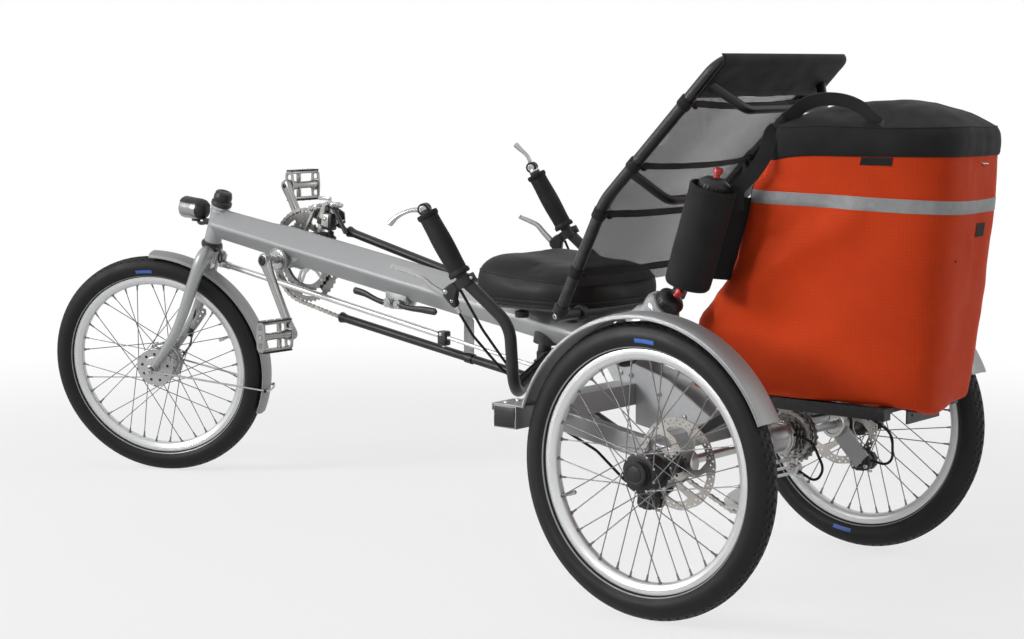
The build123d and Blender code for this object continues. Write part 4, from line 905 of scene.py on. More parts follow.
def bagPoint(turn, z, lift=0.0):
    f = (z - bag["low"]) / (bag["seam"] - bag["low"])
    p, out = bagOutline(turn, f)
    p.z = z
    # the lower front bulges forward over the rack
    for (za, a), (zb, b) in zip(bag["flare"], bag["flare"][1:]):
        if za <= z < zb:
            k = (z - za) / (zb - za)
            p.y -= (a + (b - a) * k * k * (3 - 2 * k)) * max(0.0, -sin(2 * pi * turn)) ** 0.7
    swell = bag["swell"] * sin(pi * clamp(f)) ** 0.8
    swell += 3.2 * noise.noise(p * 0.0095) + 1.1 * noise.noise(p * 0.031) + 0.35 * noise.noise(p * 0.09)
    if p.x > 0:
        swell += sum(crease(p, *fold) for fold in folds)
    pucker = bell((z - bag["seam"]) / 26) + 0.7 * bell((z - 705) / 20)
    swell += pucker * 1.1 * noise.noise(Vector((p.x * 0.05, p.y * 0.05, z * 0.008)))
    slope = -8.0 * sin(2 * pi * turn) * clamp((z - 500) / 190) * clamp((bag["seam"] - z) / 50)
    # the lower edge hangs down at the rider's left of the back
    droop = -17.0 * bell((turn - 0.185) / 0.065) * max(0.0, 1 - (z - bag["low"]) / 150)
    return p + out * (swell + lift) + Vector((0, 0, slope + droop + 3.0 * noise.noise(p * 0.006)))


def bagRow(z, lift=0.0, low=0.0, high=1.0, steps=None):
    steps = steps or bag["steps"]
    count = steps if high - low == 1 else steps + 1
    return [bagPoint(low + (high - low) * i / steps, z, lift) for i in range(count)]


def makeBag():
    low = bag["low"]
    rows = []
    for inset, rise in ((60, 0.5), (30, 0), (14, 0), (6, 1.2), (2, 4), (0, 9)):
        rows.append([bagPoint(i / bag["steps"], low + rise, -inset) for i in range(bag["steps"])])
    heights = [low + 9 + (bag["stripe"][0] - low - 9) * i / 40 for i in range(1, 41)]
    heights += [bag["stripe"][0] + 0.8]
    rows += [bagRow(z) for z in heights]
    rows += [bagRow(z) for z in (702, 708, bag["stripe"][1] - 0.8, bag["stripe"][1])]
    rows += [bagRow(z) for z in (724, 731, 738, 745, 752, 759, 766, 772, bag["seam"])]
    bm = skin(rows, capLow=True)
    stripe = skin([bagRow(z, lift) for z, lift in ((bag["stripe"][0], 0.1), (bag["stripe"][0] + 0.6, 0.9), (700, 1.0),
            (706, 1.0), (711, 1.0), (bag["stripe"][1] - 0.6, 0.9), (bag["stripe"][1], 0.1))])
    addTo(bm, stripe, tint=1)
    # blank label under the seam and a blank patch with two snaps on the back
    for turnLow, turnHigh, zLow, zHigh, lift in ((0.022, 0.068, 764.0, 777, 1.4), (0.262, 0.300, 650, 674, 1.2)):
        label = skin([bagRow(z, rise, turnLow, turnHigh, 10) for z, rise in ((zLow, -0.4), (zLow + 0.3, lift),
                ((zLow + zHigh) / 2, lift), (zHigh - 0.3, lift), (zHigh, -0.4))], closed=False)
        addTo(bm, label, tint=2)
    for turn in (0.270, 0.284):
        p, q = bagPoint(turn, 768.5, 0.3), bagPoint(turn, 770.5, 1.6)
        snap = lathe([(0, 5.2), (0.7, 5.0), (1.2, 4.2), (1.0, 3.2), (0.3, 2.9), (0.3, 0)], 16)
        addTo(bm, snap, aim(p, q), 3)
    p, q = bagPoint(0.176, 612, 0), bagPoint(0.176, 612, 1)
    addTo(bm, lathe([(0, 2.6), (0.8, 2.0), (0.9, 0)], 12), aim(p, q), 2)
    makePiece("bagShell", bm, ["orangeCloth", "greyTape", "blackCloth", "brightMetal"], "frame", ["bag_shell"],
              cloth=True, smooth=50)


def lidPoint(turn, v):
    # v from 0 at the seam to 1 at the rim and 2 at the middle of the top
    if v <= 1:
        p = bagPoint(turn, bag["seam"], 2.6 - 1.2 * v)
        out = bagOutline(turn, 1.0)[1]
        dip = 10.0 * bell((turn - 0.872) / 0.035)
        p += out * (2.6 * sin(pi * v) - 55 * max(0.0, v - 0.7) ** 2) + Vector((0, 3.0 * v,
                (bag["rimHigh"] - bag["seam"]) * v - dip * (1 - v) + 3.0 * noise.noise(Vector((p.x, p.y, 9)) * 0.012)
                * v))
        p += out * 2.2 * noise.noise(p * 0.024) * (0.3 + v)
        return p
    edge = lidPoint(turn, 1.0)
    middle = Vector((0, 272, bag["crown"] - 6))
    s = 2 - v
    p = middle.lerp(edge, s)
    rise = 1 - s ** 2.1
    p.z = edge.z + (bag["crown"] - edge.z - 4) * rise + 5 * sin(pi * s) * noise.noise(Vector((p.x, p.y, 0)) * 0.014)
    p.z += 2.0 * noise.noise(Vector((p.x, p.y, 40)) * 0.035) * sin(pi * s)
    return p


def makeLid():
    steps = bag["steps"]
    rows = [[lidPoint(i / steps, 0) - bagOutline(i / steps, 1.0)[1] * inset + Vector((0, 0, rise))
            for i in range(steps)] for inset, rise in ((5, 0.4), (1.2, 0.0), (0, 1.2))]
    rows += [[lidPoint(i / steps, v) for i in range(steps)] for v in (0.06, 0.14, 0.25, 0.38, 0.5, 0.62, 0.75, 0.86,
            0.94, 1.0)]
    rows += [[lidPoint(i / steps, 1 + v) for i in range(steps)] for v in (0.012, 0.03, 0.06, 0.1, 0.15, 0.21, 0.28,
            0.36, 0.45, 0.55, 0.65, 0.75, 0.84, 0.92, 0.97)]
    bm = skin(rows, capHigh=True)
    # corded seam round the rim and a hem line over the seam
    for v, radius in ((1.0, 1.1), (0.11, 0.8)):
        ring = [lidPoint(i / 120, v) for i in range(120)]
        addTo(bm, roundLoop(ring, radius))
    # folded tab at the front left corner
    corner = lidPoint(0.875, 0.9)
    addTo(bm, block((22, 4, 26), (0, 0, 0), 1.4), moved(corner + Vector((2, -6, -10))) @ turned(0.7, "Z"))
    makePiece("bagLid", bm, ["blackCloth"], "bag_lid", ["bag_lid"], cloth=True, smooth=50)


def roundLoop(points, radius, sides=6, closed=True):
    # a cord that follows points, as rows of rings
    rows = []
    count = len(points)
    for i, point in enumerate(points):
        ahead = points[(i + 1) % count] if closed or i < count - 1 else point + (point - points[i - 1])
        behind = points[i - 1] if closed or i else point - (ahead - point)
        along = (ahead - behind).normalized()
        side = along.cross(Vector((0, 0, 1)) if abs(along.z) < 0.9 else xWay).normalized()
        up = side.cross(along)
        rows.append([point + (side * cos(a) + up * sin(a)) * radius for a in turns(sides)])
    return skin(rows + ([rows[0]] if closed else []), capLow=not closed, capHigh=not closed)


def heading(line, i):
    # direction of a line of points at one of them
    return (line[min(i + 1, len(line) - 1)] - line[max(i - 1, 0)]).normalized()


def strap(points, normals, width, thickness):
    # flat webbing along points; normals point away from its face
    rows = []
    for i, point in enumerate(points):
        normal = normals[i].normalized()
        side = heading(points, i).cross(normals[i]).normalized() * (width / 2)
        lift, rim = normal * (thickness / 2), normal * (thickness / 4)
        rows.append([point + side * 0.96 + lift, point - side * 0.96 + lift, point - side + rim, point - side - rim,
                     point - side * 0.96 - lift, point + side * 0.96 - lift, point + side - rim, point + side + rim])
    return skin(rows, capLow=True, capHigh=True)


def sweep(line, size, sides=16, tip=1.0, dent=0.0):
    # bar along a line in the y-z plane; size gives its width and height at a fraction of the line
    rows = []
    for i, point in enumerate(line):
        up = xWay.cross(heading(line, i)).normalized()
        t = i / (len(line) - 1)
        wide, tall = [value * (tip if t in (0, 1) else 1) / 2 for value in size(t)]
        rows.append([point + xWay * (wide * cos(a)) + up * (tall * sin(a) - (dent if sin(a) < -0.5 and 0.1 < t < 0.9
                else 0)) for a in turns(sides)])
    return skin(rows, capLow=True, capHigh=True)


def taper(points, radii, sides=20, flat=None):
    # round bar along points whose radius changes; flat squeezes it across y at each point
    rows = []
    for i, point in enumerate(points):
        ahead = heading(points, i)
        side = Vector((0, 1, 0)).cross(ahead).normalized()
        back = ahead.cross(side)
        squeeze = flat[i] if flat else 1
        rows.append([point + side * (radii[i] * squeeze * cos(a)) + back * (radii[i] * sin(a)) for a in turns(sides)])
    return skin(rows, capLow=True, capHigh=True)


def bend(corners, count):
    # smooth points through corners
    points = []
    for i in range(len(corners) - 1):
        a, b, c, d = [Vector(corners[max(0, min(len(corners) - 1, i + k))]) for k in (-1, 0, 1, 2)]
        for j in range(count):
            t = j / count
            points.append(0.5 * (2 * b + (c - a) * t + (2 * a - 5 * b + 4 * c - d) * t * t + (3 * b - a - 3 * c + d)
                    * t ** 3))
    return points + [Vector(corners[-1])]


handle = {"line": ((142, 128, 838), (141, 142, 848), (139, 164, 864), (136, 196, 872), (132, 232, 870),
        (128, 262, 859), (125, 286, 840), (124, 296, 834)), "width": 24, "thickness": 3.0}


def makeHandle():
    line = bend(handle["line"], 6)
    ways = []
    for i in range(len(line)):
        tilt = xWay.cross(heading(line, i)).normalized() * -0.55
        ways.append((tilt + Vector((0.75, 0.3, 0.2))).normalized())
    bm = strap(line, ways, handle["width"], handle["thickness"])
    for end, way in ((0, 1), (-1, -1)):      # stitched box where the webbing is sewn down
        addTo(bm, block((19, 26, 2.2), (0, 0, 0), 0.8),
              moved(line[end] + Vector((-2, -way * 10, -5))) @ turned(way * 0.5) @ turned(0.3, "Y"))
    makePiece("bagHandle", bm, ["webbing"], "bag_lid", ["bag_handle"], cloth=True, smooth=40)


makeBag()
makeLid()
makeHandle()

bottles = {
    # low end of the axis, lean along y in degrees, bottle radius, body height, sleeve height
    "pouchBottle": ((234, -8, 556), 17.4, 36.5, 168, 178),
    "frameBottle": ((225, -164, 428), 50.0, 34.0, 140, 70.0),      # its sleeve is a short cup
}


def leanSpace(word):
    low, lean = bottles[word][:2]
    # x along the bottle's axis
    return moved(low) @ turned(radians(-lean)) @ upX


def makeBottle(word, node, bodyFinish):
    radius, body = bottles[word][2:4]
    neck = 3.3 + body
    profile = [(3.5, 0), (3.5, radius - 6), (5, radius - 2.5), (9, radius - 0.4), (14, radius)]
    if word == "frameBottle":
        for at in (26, 44, 62):
            profile += [(at, radius), (at + 2, radius - 2.2), (at + 6, radius - 2.2), (at + 8, radius)]
        profile += [(84, radius), (96, radius - 1), (104, radius - 4.5), (112, radius - 4.5), (120, radius - 1),
                (neck - 12, radius - 0.5), (neck - 5, radius - 3), (neck - 2, radius - 7)]
    else:
        profile += [(neck - 16, radius), (neck - 7, radius - 2.5), (neck - 2, radius - 7)]
    bm = lathe(profile + [(neck - 1, 0.7 * radius), (neck - 1, 0)], 56)
    cap = [(neck - 1.5, 0), (neck - 1.5, 0.74 * radius - 0.5), (neck + 0.5, 0.74 * radius), (neck + 11, 0.74 * radius),
            (neck + 14, 0.70 * radius), (neck + 20, 0.5 * radius), (neck + 22, 11), (neck + 23, 0)]
    lidPart = lathe(cap, 48)
    ribs = [f for f in lidPart.faces if neck + 1 < f.calc_center_median().x < neck + 11]
    bmesh.ops.inset_individual(lidPart, faces=ribs[::2], thickness=0.5, depth=-0.8)
    addTo(bm, lidPart, tint=1)
    addTo(bm, lathe([(neck + 21, 6), (neck + 30, 5.5), (neck + 31, 8.6), (neck + 36, 8.8), (neck + 39.5, 7),
            (neck + 40, 3), (neck + 37, 2.4), (neck + 37, 0)], 24), tint=2)
    makePiece(word, bm, [bodyFinish, "blackPlastic", "redPlastic"], "frame", [node], leanSpace(word),
            35)


makeBottle("pouchBottle", "pouch_bottle", "speckledPlastic")
makeBottle("frameBottle", "frame_bottle", "clearPlastic")


pouch = {"low": 434, "tall": 296, "from": 0.79, "to": 0.853, "slant": 0.020, "rows": 24, "columns": 20}


def makePouch():
    bm = bmesh.new()
    # panel round the bag's front left corner, its rear edge slanting down to the front
    rows = []
    for i in range(pouch["rows"] + 1):
        z = pouch["low"] + pouch["tall"] * i / pouch["rows"]
        rearTurn = pouch["to"] + pouch["slant"] * max(0.0, (z - pouch["low"]) / pouch["tall"]) ** 1.2
        row, last = [], pouch["columns"]
        for k in range(last + 1):
            lift = 0.6 + 1.8 * min(1.0, k * 0.8, (last - k) * 0.8)       # the edges lie close to the bag
            row.append(bagPoint(pouch["from"] + (rearTurn - pouch["from"]) * k / last, z, lift))
        rows.append(row)
    addTo(bm, skin(rows, closed=False))
    for word in bottles:
        radius, height = bottles[word][2], bottles[word][4]
        outer = radius + 3.4
        folded = [(-2.2, 0), (-2.2, outer - 9), (-0.6, outer - 3.5), (4, outer - 0.6), (12, outer),
                (height * 0.35, outer + 0.7), (height * 0.5, outer - 0.5), (height * 0.72, outer + 0.5),
                (height - 12, outer - 0.3), (height - 10, outer + 0.5), (height - 2, outer + 0.4),
                (height, outer - 0.8), (height - 0.5, radius + 0.5), (height - 30, radius + 0.4),
                (height - 50, radius + 0.4)]
        sleeve = lathe(folded, 56)
        for vert in sleeve.verts:
            push = 0.9 * noise.noise(Vector((vert.co.x * 0.02, vert.co.y * 0.03, vert.co.z * 0.03))
                    + Vector((radius, 0, 0)))
            if hypot(vert.co.y, vert.co.z) > radius + 1:
                scale = 1 + push / outer
                vert.co.y *= scale
                vert.co.z *= scale
        bmesh.ops.subdivide_edges(sleeve, edges=[e for e in sleeve.edges if e.calc_length() > 26], cuts=2,
                use_grid_fill=True)
        addTo(bm, sleeve, leanSpace(word))
    # web that holds each sleeve to the panel
    for word, middle, wide, turn in (("pouchBottle", 90, 150, 0.874), ("frameBottle", 36, 60, 0.852)):
        radius = bottles[word][2]
        hub = leanSpace(word) @ Vector((middle, 0, 0))
        axis = (leanSpace(word) @ Vector((middle + 1, 0, 0)) - hub).normalized()
        base = bagPoint(turn, max(470, min(690, hub.z)), 2)
        inward = base - hub
        inward = (inward - axis * inward.dot(axis)).normalized()
        reach = (base - hub).length
        points = [hub + inward * (radius + 1 + (reach - radius - 1) * k / 5) for k in range(6)]
        addTo(bm, strap(points, [axis.cross(inward)] * 6, wide, 3))
    # narrow webbing from the lid's corner down to the sleeve's mouth
    top = lidPoint(0.885, 0.8) + Vector((3, -5, 0))
    mouth = leanSpace("pouchBottle") @ Vector((172, 0, 0)) + Vector((-24, 34, 0))
    line = bend([top + Vector((-6, 4, 6)), top, top.lerp(mouth, 0.35) + Vector((2, 13, 0)), top.lerp(mouth, 0.7)
            + Vector((2, 11, 0)), mouth, mouth + Vector((0, -2, -34))], 5)
    addTo(bm, strap(line, [Vector((0.85, 0.5, 0.1))] * len(line), 25, 2.6))
    makePiece("bottlePouch", bm, ["blackCloth"], "frame", ["bottle_pouch"], cloth=True, smooth=45)


makePouch()
print("bag made")


cushion = {"smoothing": 5,
           # what a row's height counts from, height over it, inset, rise to the front
           "rows": (("low", 0, 60), ("low", 0, 20), ("low", 2, 9), ("piping", -5, 5.5), ("piping", 0, 7),
               ("piping", 5, 5.5, 1), ("piping", 22, 4.5, 3), ("ridge", -10, 6, 6), ("ridge", 0, 9, 8),
               ("ridge", 5, 15, 8), ("top", -10, 28, 8), ("top", -5, 46, 9), ("top", -3, 72, 8), ("top", -2, 100, 6)),
           "y": -452.0, "low": 477.5, "half": 149.0, "ridge": 536.0, "piping": 489.0, "top": 560.0, "square": 4.6,
           "voxel": 5.0, "pressure": 2.4, "frames": 20, "cap": 4.5}


def cushionRow(z, inset, tilt=0.0, steps=72):
    row = []
    for a in turns(steps):
        reach = squareness(a, cushion["square"]) * (cushion["half"] - inset)
        x, y = reach * cos(a), reach * sin(a)
        x *= 1 - 0.03 * max(0.0, -y / cushion["half"])       # narrower towards the front
        row.append(Vector((x, cushion["y"] + y, z + tilt * (-y / cushion["half"]))))
    return row


def inflate(bm, name):
    # remeshes a closed shape, swells it as cloth and gives the result as a bmesh
    mesh = bpy.data.meshes.new(name)
    bm.to_mesh(mesh)
    bm.free()
    mesh.transform(toScene)
    soft = bpy.data.objects.new(name, mesh)
    bpy.context.scene.collection.objects.link(soft)
    grid = soft.modifiers.new("grid", "REMESH")
    grid.mode, grid.voxel_size = "VOXEL", cushion["voxel"] / 1000
    solid = bpy.data.meshes.new_from_object(soft.evaluated_get(bpy.context.evaluated_depsgraph_get()))
    soft.modifiers.clear()
    soft.data = solid
    start = [v.co.copy() for v in solid.vertices]
    cloth = soft.modifiers.new("cloth", "CLOTH")
    cloth.settings.use_pressure = True
    cloth.settings.uniform_pressure_force = cushion["pressure"]
    cloth.settings.effector_weights.gravity = 0
    cloth.settings.tension_stiffness = cloth.settings.compression_stiffness = 18
    cloth.settings.bending_stiffness = 0.6
    cloth.point_cache.frame_end = cushion["frames"]
    hold = soft.vertex_groups.new(name="hold")
    hold.add([v.index for v in solid.vertices if v.co.z < (cushion["low"] + 4) / 1000], 1.0, "REPLACE")
    cloth.settings.vertex_group_mass = "hold"
    for step in range(1, cushion["frames"] + 1):
        bpy.context.scene.frame_set(step)
    swollen = bpy.data.meshes.new_from_object(soft.evaluated_get(bpy.context.evaluated_depsgraph_get()))
    bpy.context.scene.frame_set(1)
    for vert, old in zip(swollen.vertices, start):
        move = vert.co - old
        if move.length > cushion["cap"] / 1000:
            vert.co = old + move.normalized() * cushion["cap"] / 1000
    bpy.data.objects.remove(soft)
    swollen.transform(toBench)
    swollen.materials.clear()
    out = bmesh.new()
    out.from_mesh(swollen)
    return out


def makeCushion():
    c = cushion
    rows = [cushionRow(c[word] + lift, *shape) for word, lift, *shape in c["rows"]]
    bm = skin(rows, capLow=True, capHigh=True)
    bmesh.ops.triangulate(bm, faces=[f for f in bm.faces if len(f.verts) > 4])
    bm = inflate(bm, "cushionForm")
    # dished where the rider sits, with a rolled front edge
    for vert in bm.verts:
        x, y, z = vert.co
        if z > c["ridge"]:
            k = (z - c["ridge"]) / (c["top"] - c["ridge"])
            ahead = (c["y"] - y) / c["half"]
            vert.co.z += k * (-2.5 * cos(pi * min(1.0, abs(x) / c["half"]) * 1.4) + 8.0 * max(0.0, ahead) ** 2 - 6.0
                    * max(0.0, 1 - abs(ahead + 0.25) * 2.5) - 2.0 * max(0.0, -ahead))
    for _ in range(c["smoothing"]):
        bmesh.ops.smooth_vert(bm, verts=bm.verts, factor=0.5, use_axis_x=True, use_axis_y=True, use_axis_z=True)
    solid = bm.copy()
    # ridge and piping settle on the swollen side
    tree = BVHTree.FromBMesh(solid)
    for level, tilt, radius in ((c["ridge"], 8, 1.5), (c["piping"], 0.5, 2.4)):
        line = [tree.find_nearest(point)[0] for point in cushionRow(level, 2, tilt, 144)]
        addTo(bm, roundLoop(line, radius, 8))
    solid.free()
    made = makePiece("seatCushion", bm, ["saddleHide"], "frame", ["seat_cushion"], smooth=60)
    sub = made.modifiers.new("smooth", "SUBSURF")
    sub.levels = sub.render_levels = 1


makeCushion()

seat = {"half": 174.7, "tubeHalf": 186.0, "back": ((-325.0, 474.0), (-221.0, 688.0), (24.0, 937.0)), "kneeReach": 44,
        "sag": 9.0, "meshLow": 60.0, "meshHigh": 542.0, "straps": (92.0, 213.0, 331.0, 485.0), "strapWidth": 15}


def backPoint(x, at, lift=0.0):
    # at: distance up the side tubes; the bend at the knee is rounded
    (ya, za), (yb, zb), (yc, zc) = seat["back"]
    low, high = hypot(yb - ya, zb - za), hypot(yc - yb, zc - zb)
    a = Vector((0, (yb - ya) / low, (zb - za) / low))
    b = Vector((0, (yc - yb) / high, (zc - zb) / high))
    knee = Vector((0, yb, zb))
    t, reach = at - low, seat["kneeReach"]
    k = clamp((t + reach) / (2 * reach))
    if abs(t) < reach:
        point = (knee - a * reach) * (1 - k) ** 2 + knee * 2 * k * (1 - k) + (knee + b * reach) * k * k
    else:
        point = knee + (a * t if t < 0 else b * t)
    along = a.lerp(b, k).normalized()
    back = Vector((0, along.z, -along.y))
    return Vector((x, point.y, point.z)) + back * lift


def makeSeatMesh():
    half, columns = seat["half"], 36
    rows = []
    count = 60
    for i in range(count + 1):
        at = seat["meshLow"] + (seat["meshHigh"] - seat["meshLow"]) * i / count
        row = []
        for k in range(columns + 1):
            f = -1 + 2 * k / columns
            sag = seat["sag"] * (1 - f * f) * (0.6 + 0.4 * sin(pi * i / count)) + 1.2 * noise.noise(
                    Vector((f * 2.2, at * 0.01, 0)))
            row.append(backPoint(f * half, at, sag))
        rows.append(row)
    made = makePiece("seatMesh", skin(rows, closed=False), ["seatCloth"], "frame", ["seat_mesh"],
            cloth=True, smooth=60)
    thick = made.modifiers.new("wall", "SOLIDIFY")
    thick.thickness, thick.offset = 0.0007, 0
    # webbing across the back, its tails sewn round the side tubes, and a hem along each side
    bm = bmesh.new()
    for at in seat["straps"]:
        line = []
        for k in range(25):
            f = -1 + 2 * k / 24
            wave = 2 * noise.noise(Vector((f * 1.7, at, 0)))
            line.append(backPoint(f * (half + 2), at + wave, seat["sag"] * (1 - f * f) * 0.9 + 3.0))
        ups = [backPoint(0, at, 1) - backPoint(0, at, 0)] * len(line)
        addTo(bm, strap(line, ups, seat["strapWidth"], 1.8))
        for side in (1, -1):
            ring = lathe([(-9, 11.4), (-9.5, 12.6), (-8, 13.3), (8, 13.3), (9.5, 12.6), (9, 11.4)], 24, loop=True)
            place = aim(backPoint(side * seat["tubeHalf"], at), backPoint(side * seat["tubeHalf"], at + 1))
            addTo(bm, ring, place)
            addTo(bm, block((10, 20, 3.5), (0, 0, 0), 1.0), moved(backPoint(side * (half - 6), at, 5))
                    @ turned(radians(-50)))
    for side in (1, -1):
        line = [backPoint(side * (half + 4.5), 40 + 500 * k / 40, 1.5) for k in range(41)]
        addTo(bm, strap(line, [Vector((side * 0.5, 0.6, -0.6))] * len(line), 13, 2.2))
    makePiece("seatStraps", bm, ["blackCloth"], "frame", cloth=True, smooth=45)


flap = {"half": 198.0, "columns": 40, "wall": 0.0024,
        # distance up the side tubes, lift off them
        "profile": ((512, 13.6), (518, 14.6), (530, 14.3), (544, 14.0), (558, 14.2), (572, 14.0), (584, 14.2),
            (592, 13.4), (597.5, 10.6), (600.6, 6), (601.4, 0))}


def makeFlap():
    columns, rows = flap["columns"], []
    for at, lift in flap["profile"]:
        row = []
        for k in range(columns + 1):
            f = -1 + 2 * k / columns
            ripple = 1.4 * noise.noise(Vector((f * 5, at * 0.02, 3))) * (1.4 if at < 524 else 0.6)
            row.append(backPoint(f * flap["half"], at + 3 * noise.noise(Vector((f * 3, 0, 0)))
                    * (1 if at < 524 else 0), lift + (ripple if at < 596 else 0)))
        rows.append(row)
    bm = skin(rows, closed=False)
    made = makePiece("seatFlap", bm, ["blackCloth"], "frame", ["seat_flap"], cloth=True, smooth=50)
    thick = made.modifiers.new("wall", "SOLIDIFY")
    thick.thickness, thick.offset = flap["wall"], 0
    bm = bmesh.new()
    for at in (521, 524.5):      # stitching along the lower hem
        for k in range(52):
            x = -190 + 380 * k / 51
            a, b = backPoint(x, at, 16.2), backPoint(x + 4.2, at, 16.2)
            addTo(bm, pin(a, b, 0.5, 4, 0.2))
    makePiece("flapStitches", bm, ["greyThread"], "frame", smooth=60)


makeSeatMesh()
makeFlap()
print("seat made")

chain = {"pitch": 12.7, "path": (
    # x, y, z, radius of the chain's middle line, turn
    (-55, -1214, 514, 102.5, -1), (-54, -1090, 576, 0, 0), (-60, -791, 503, 0, 0), (-87, 0, 253, 42.5, -1),
    (-87, -58, 168, 20.5, 1), (-87, -116, 114, 20.5, -1), (-66, -540, 297, 0, 0), (-55, -1128, 391, 0, 0))}


def chainLine():
    rows = chain["path"]
    runs = []
    for i, first in enumerate(rows):
        second = rows[(i + 1) % len(rows)]
        gap = Vector((0, second[1] - first[1], second[2] - first[2]))
        lift = second[3] * second[4] - first[3] * first[4]
        angle = atan2(gap.z, gap.y) - asin(lift / gap.length)
        side = Vector((0, -sin(angle), cos(angle)))
        runs.append((Vector(first[:3]) - side * (first[3] * first[4]), Vector(second[:3]) - side
                * (second[3] * second[4])))
    points = []
    for i, row in enumerate(rows):
        arrive, leave = runs[i - 1][1], runs[i][0]
        if row[4]:
            a, b = atan2(arrive.z - row[2], arrive.y - row[1]), atan2(leave.z - row[2], leave.y - row[1])
            while row[4] < 0 and b > a:
                b -= 2 * pi
            while row[4] > 0 and b < a:
                b += 2 * pi
            count = max(3, int(abs(b - a) / 0.06))
            points += [Vector((row[0], row[1] + row[3] * cos(a + (b - a) * k / count),
                    row[2] + row[3] * sin(a + (b - a) * k / count))) for k in range(count)]
        points.append(runs[i][0])
    return points, runs


def makeChain():
    points, runs = chainLine()
    lengths = [(points[(i + 1) % len(points)] - p).length for i, p in enumerate(points)]
    total = sum(lengths)
    count = 2 * round(total / chain["pitch"] / 2)
    pitch = total / count
    spots, i, done = [], 0, 0.0
    for k in range(count):
        want = k * pitch
        while done + lengths[i] < want:
            done += lengths[i]
            i += 1
        spots.append(points[i].lerp(points[(i + 1) % len(points)], (want - done) / lengths[i]))
    half = pitch / 2
    side = [(-half - 4.1, 0), (-half - 2.4, 3.6), (-half + 1.2, 3.9), (0, 2.7), (half - 1.2, 3.9), (half + 2.4, 3.6),
            (half + 4.1, 0), (half + 2.4, -3.6), (half - 1.2, -3.9), (0, -2.7), (-half + 1.2, -3.9),
            (-half - 2.4, -3.6)]
    links = []
    for wide in (2.2, 3.1):
        link = bmesh.new()
        for x in (wide, -wide):
            addTo(link, plate(side, 0.9), moved(x, 0, 0))
        addTo(link, lathe([(-wide, 0), (-wide, 2.6), (wide, 2.6), (wide, 0)], 7), moved(0, half, 0), 1)
        mesh = bpy.data.meshes.new("link")
        link.to_mesh(mesh)
        link.free()
        links.append(mesh)
    bm = bmesh.new()
    for k, a in enumerate(spots):
        b = spots[(k + 1) % count]
        way = (b - a).normalized()
        up = xWay.cross(way).normalized()
        across = way.cross(up)
        turn = Matrix((across, way, up)).transposed().to_4x4()
        part = bmesh.new()
        part.from_mesh(links[k % 2])
        part.transform(moved((a + b) / 2) @ turn)
        mesh = bpy.data.meshes.new("link")
        part.to_mesh(mesh)
        part.free()
        bm.from_mesh(mesh)
        bpy.data.meshes.remove(mesh)
    for mesh in links:
        bpy.data.meshes.remove(mesh)
    makePiece("chainLinks", bm, ["chainSteel", "sprocketSteel"], "frame", ["chain"], smooth=30)
    return runs


def toothed(teeth, radius, depth=3.4):
    # outline of a sprocket; radius is at the tips
    line = []
    step = 2 * pi / teeth
    for i in range(teeth):
        a = i * step
        line += polar([(r, turn * step) for turn, r in ((-0.5, radius - depth), (-0.30, radius - depth * 0.85),
                (-0.14, radius - 0.5), (0, radius), (0.14, radius - 0.5), (0.30, radius - depth * 0.85))], a)
    return line


def sector(inner, outer, middle, spanIn, spanOut):
    # closed outline between two radii, for openings
    corners = 5
    line = [(outer, spanOut * (k / corners - 0.5)) for k in range(corners + 1)]
    line += [(inner, -spanIn * (k / corners - 0.5)) for k in range(corners + 1)]
    return polar(line, middle)


rings = {
    # teeth, radius at the tips, thickness, place along x
    "big": (48, 99.5, 2.6, -55), "small": (38, 78.5, 2.4, -48.6),
    # one of the spider's five arms and its lens-shaped opening, as radius and angle
    "arm": ((27, -0.60), (40, -0.19), (58, -0.13), (70, -0.12), (74.5, -0.06), (74.5, 0.06), (70, 0.12), (58, 0.13),
        (40, 0.19)),
    "lens": ((34, 0), (39, -0.09), (50, -0.075), (60, 0), (50, 0.075), (39, 0.09)), "spiderX": -58.4}


def makeRings():
    bm = bmesh.new()
    fifths = turns(5)
    openings = {"big": [sector(70, 87, a + pi / 5, 0.62, 0.78) for a in fifths] + [ringOf(0, 0, 61, 60)],
            "small": [ringOf(0, 0, 62, 60)]}
    for word, holes in openings.items():
        teeth, radius, thickness, x = rings[word]
        addTo(bm, plate(toothed(teeth, radius), thickness, holes, 0.4), moved(x, 0, 0))
    star = [spot for a in fifths for spot in polar(rings["arm"], a)]
    lens = [polar(rings["lens"], a) for a in fifths]
    addTo(bm, plate(star, 5.5, lens + [ringOf(0, 0, 9.2, 30)], 0.9), moved(rings["spiderX"], 0, 0), 1)
    addTo(bm, lathe([(-64.6, 9.2), (-64.6, 21), (-63, 23), (-60, 24), (-56, 24), (-48, 20), (-46, 18), (-46, 9.2)], 48,
            loop=True), tint=1)
    for ring in [turned(a) for a in fifths]:
        addTo(bm, boltHead(5, 2.4), ring @ moved(-61, 68.5, 0) @ flip(-1), 2)
        addTo(bm, lathe([(0, 0), (0, 4.2), (6, 4.2), (7, 3.4), (7, 0)], 12), ring @ moved(-54, 68.5, 0), 1)
    makePiece("chainringSet", bm, ["sprocketSteel", "satinAlloy", "brightMetal"], "cranks", ["chainrings"],
            crankSpace, 30)


crank = {
    "x": 72, "reach": 170, "square": 4.2, "groove": 0.16,
    # place along the arm, width, thickness, shift outwards
    "rows": ((-15, 8, 5, 0), (-12.5, 20, 9, 0), (-6, 29, 12.5, 0), (4, 30, 13.5, 0), (16, 26, 13, 0.4),
        (34, 21.5, 12.2, 0.8), (70, 20.5, 12, 1.0), (110, 19.5, 12, 1.0), (140, 19.5, 12.4, 0.6), (156, 22, 13.2, 0),
        (166, 25, 13.6, 0), (174, 24, 13.4, 0), (180, 18, 11, 0), (183, 8, 6, 0))}


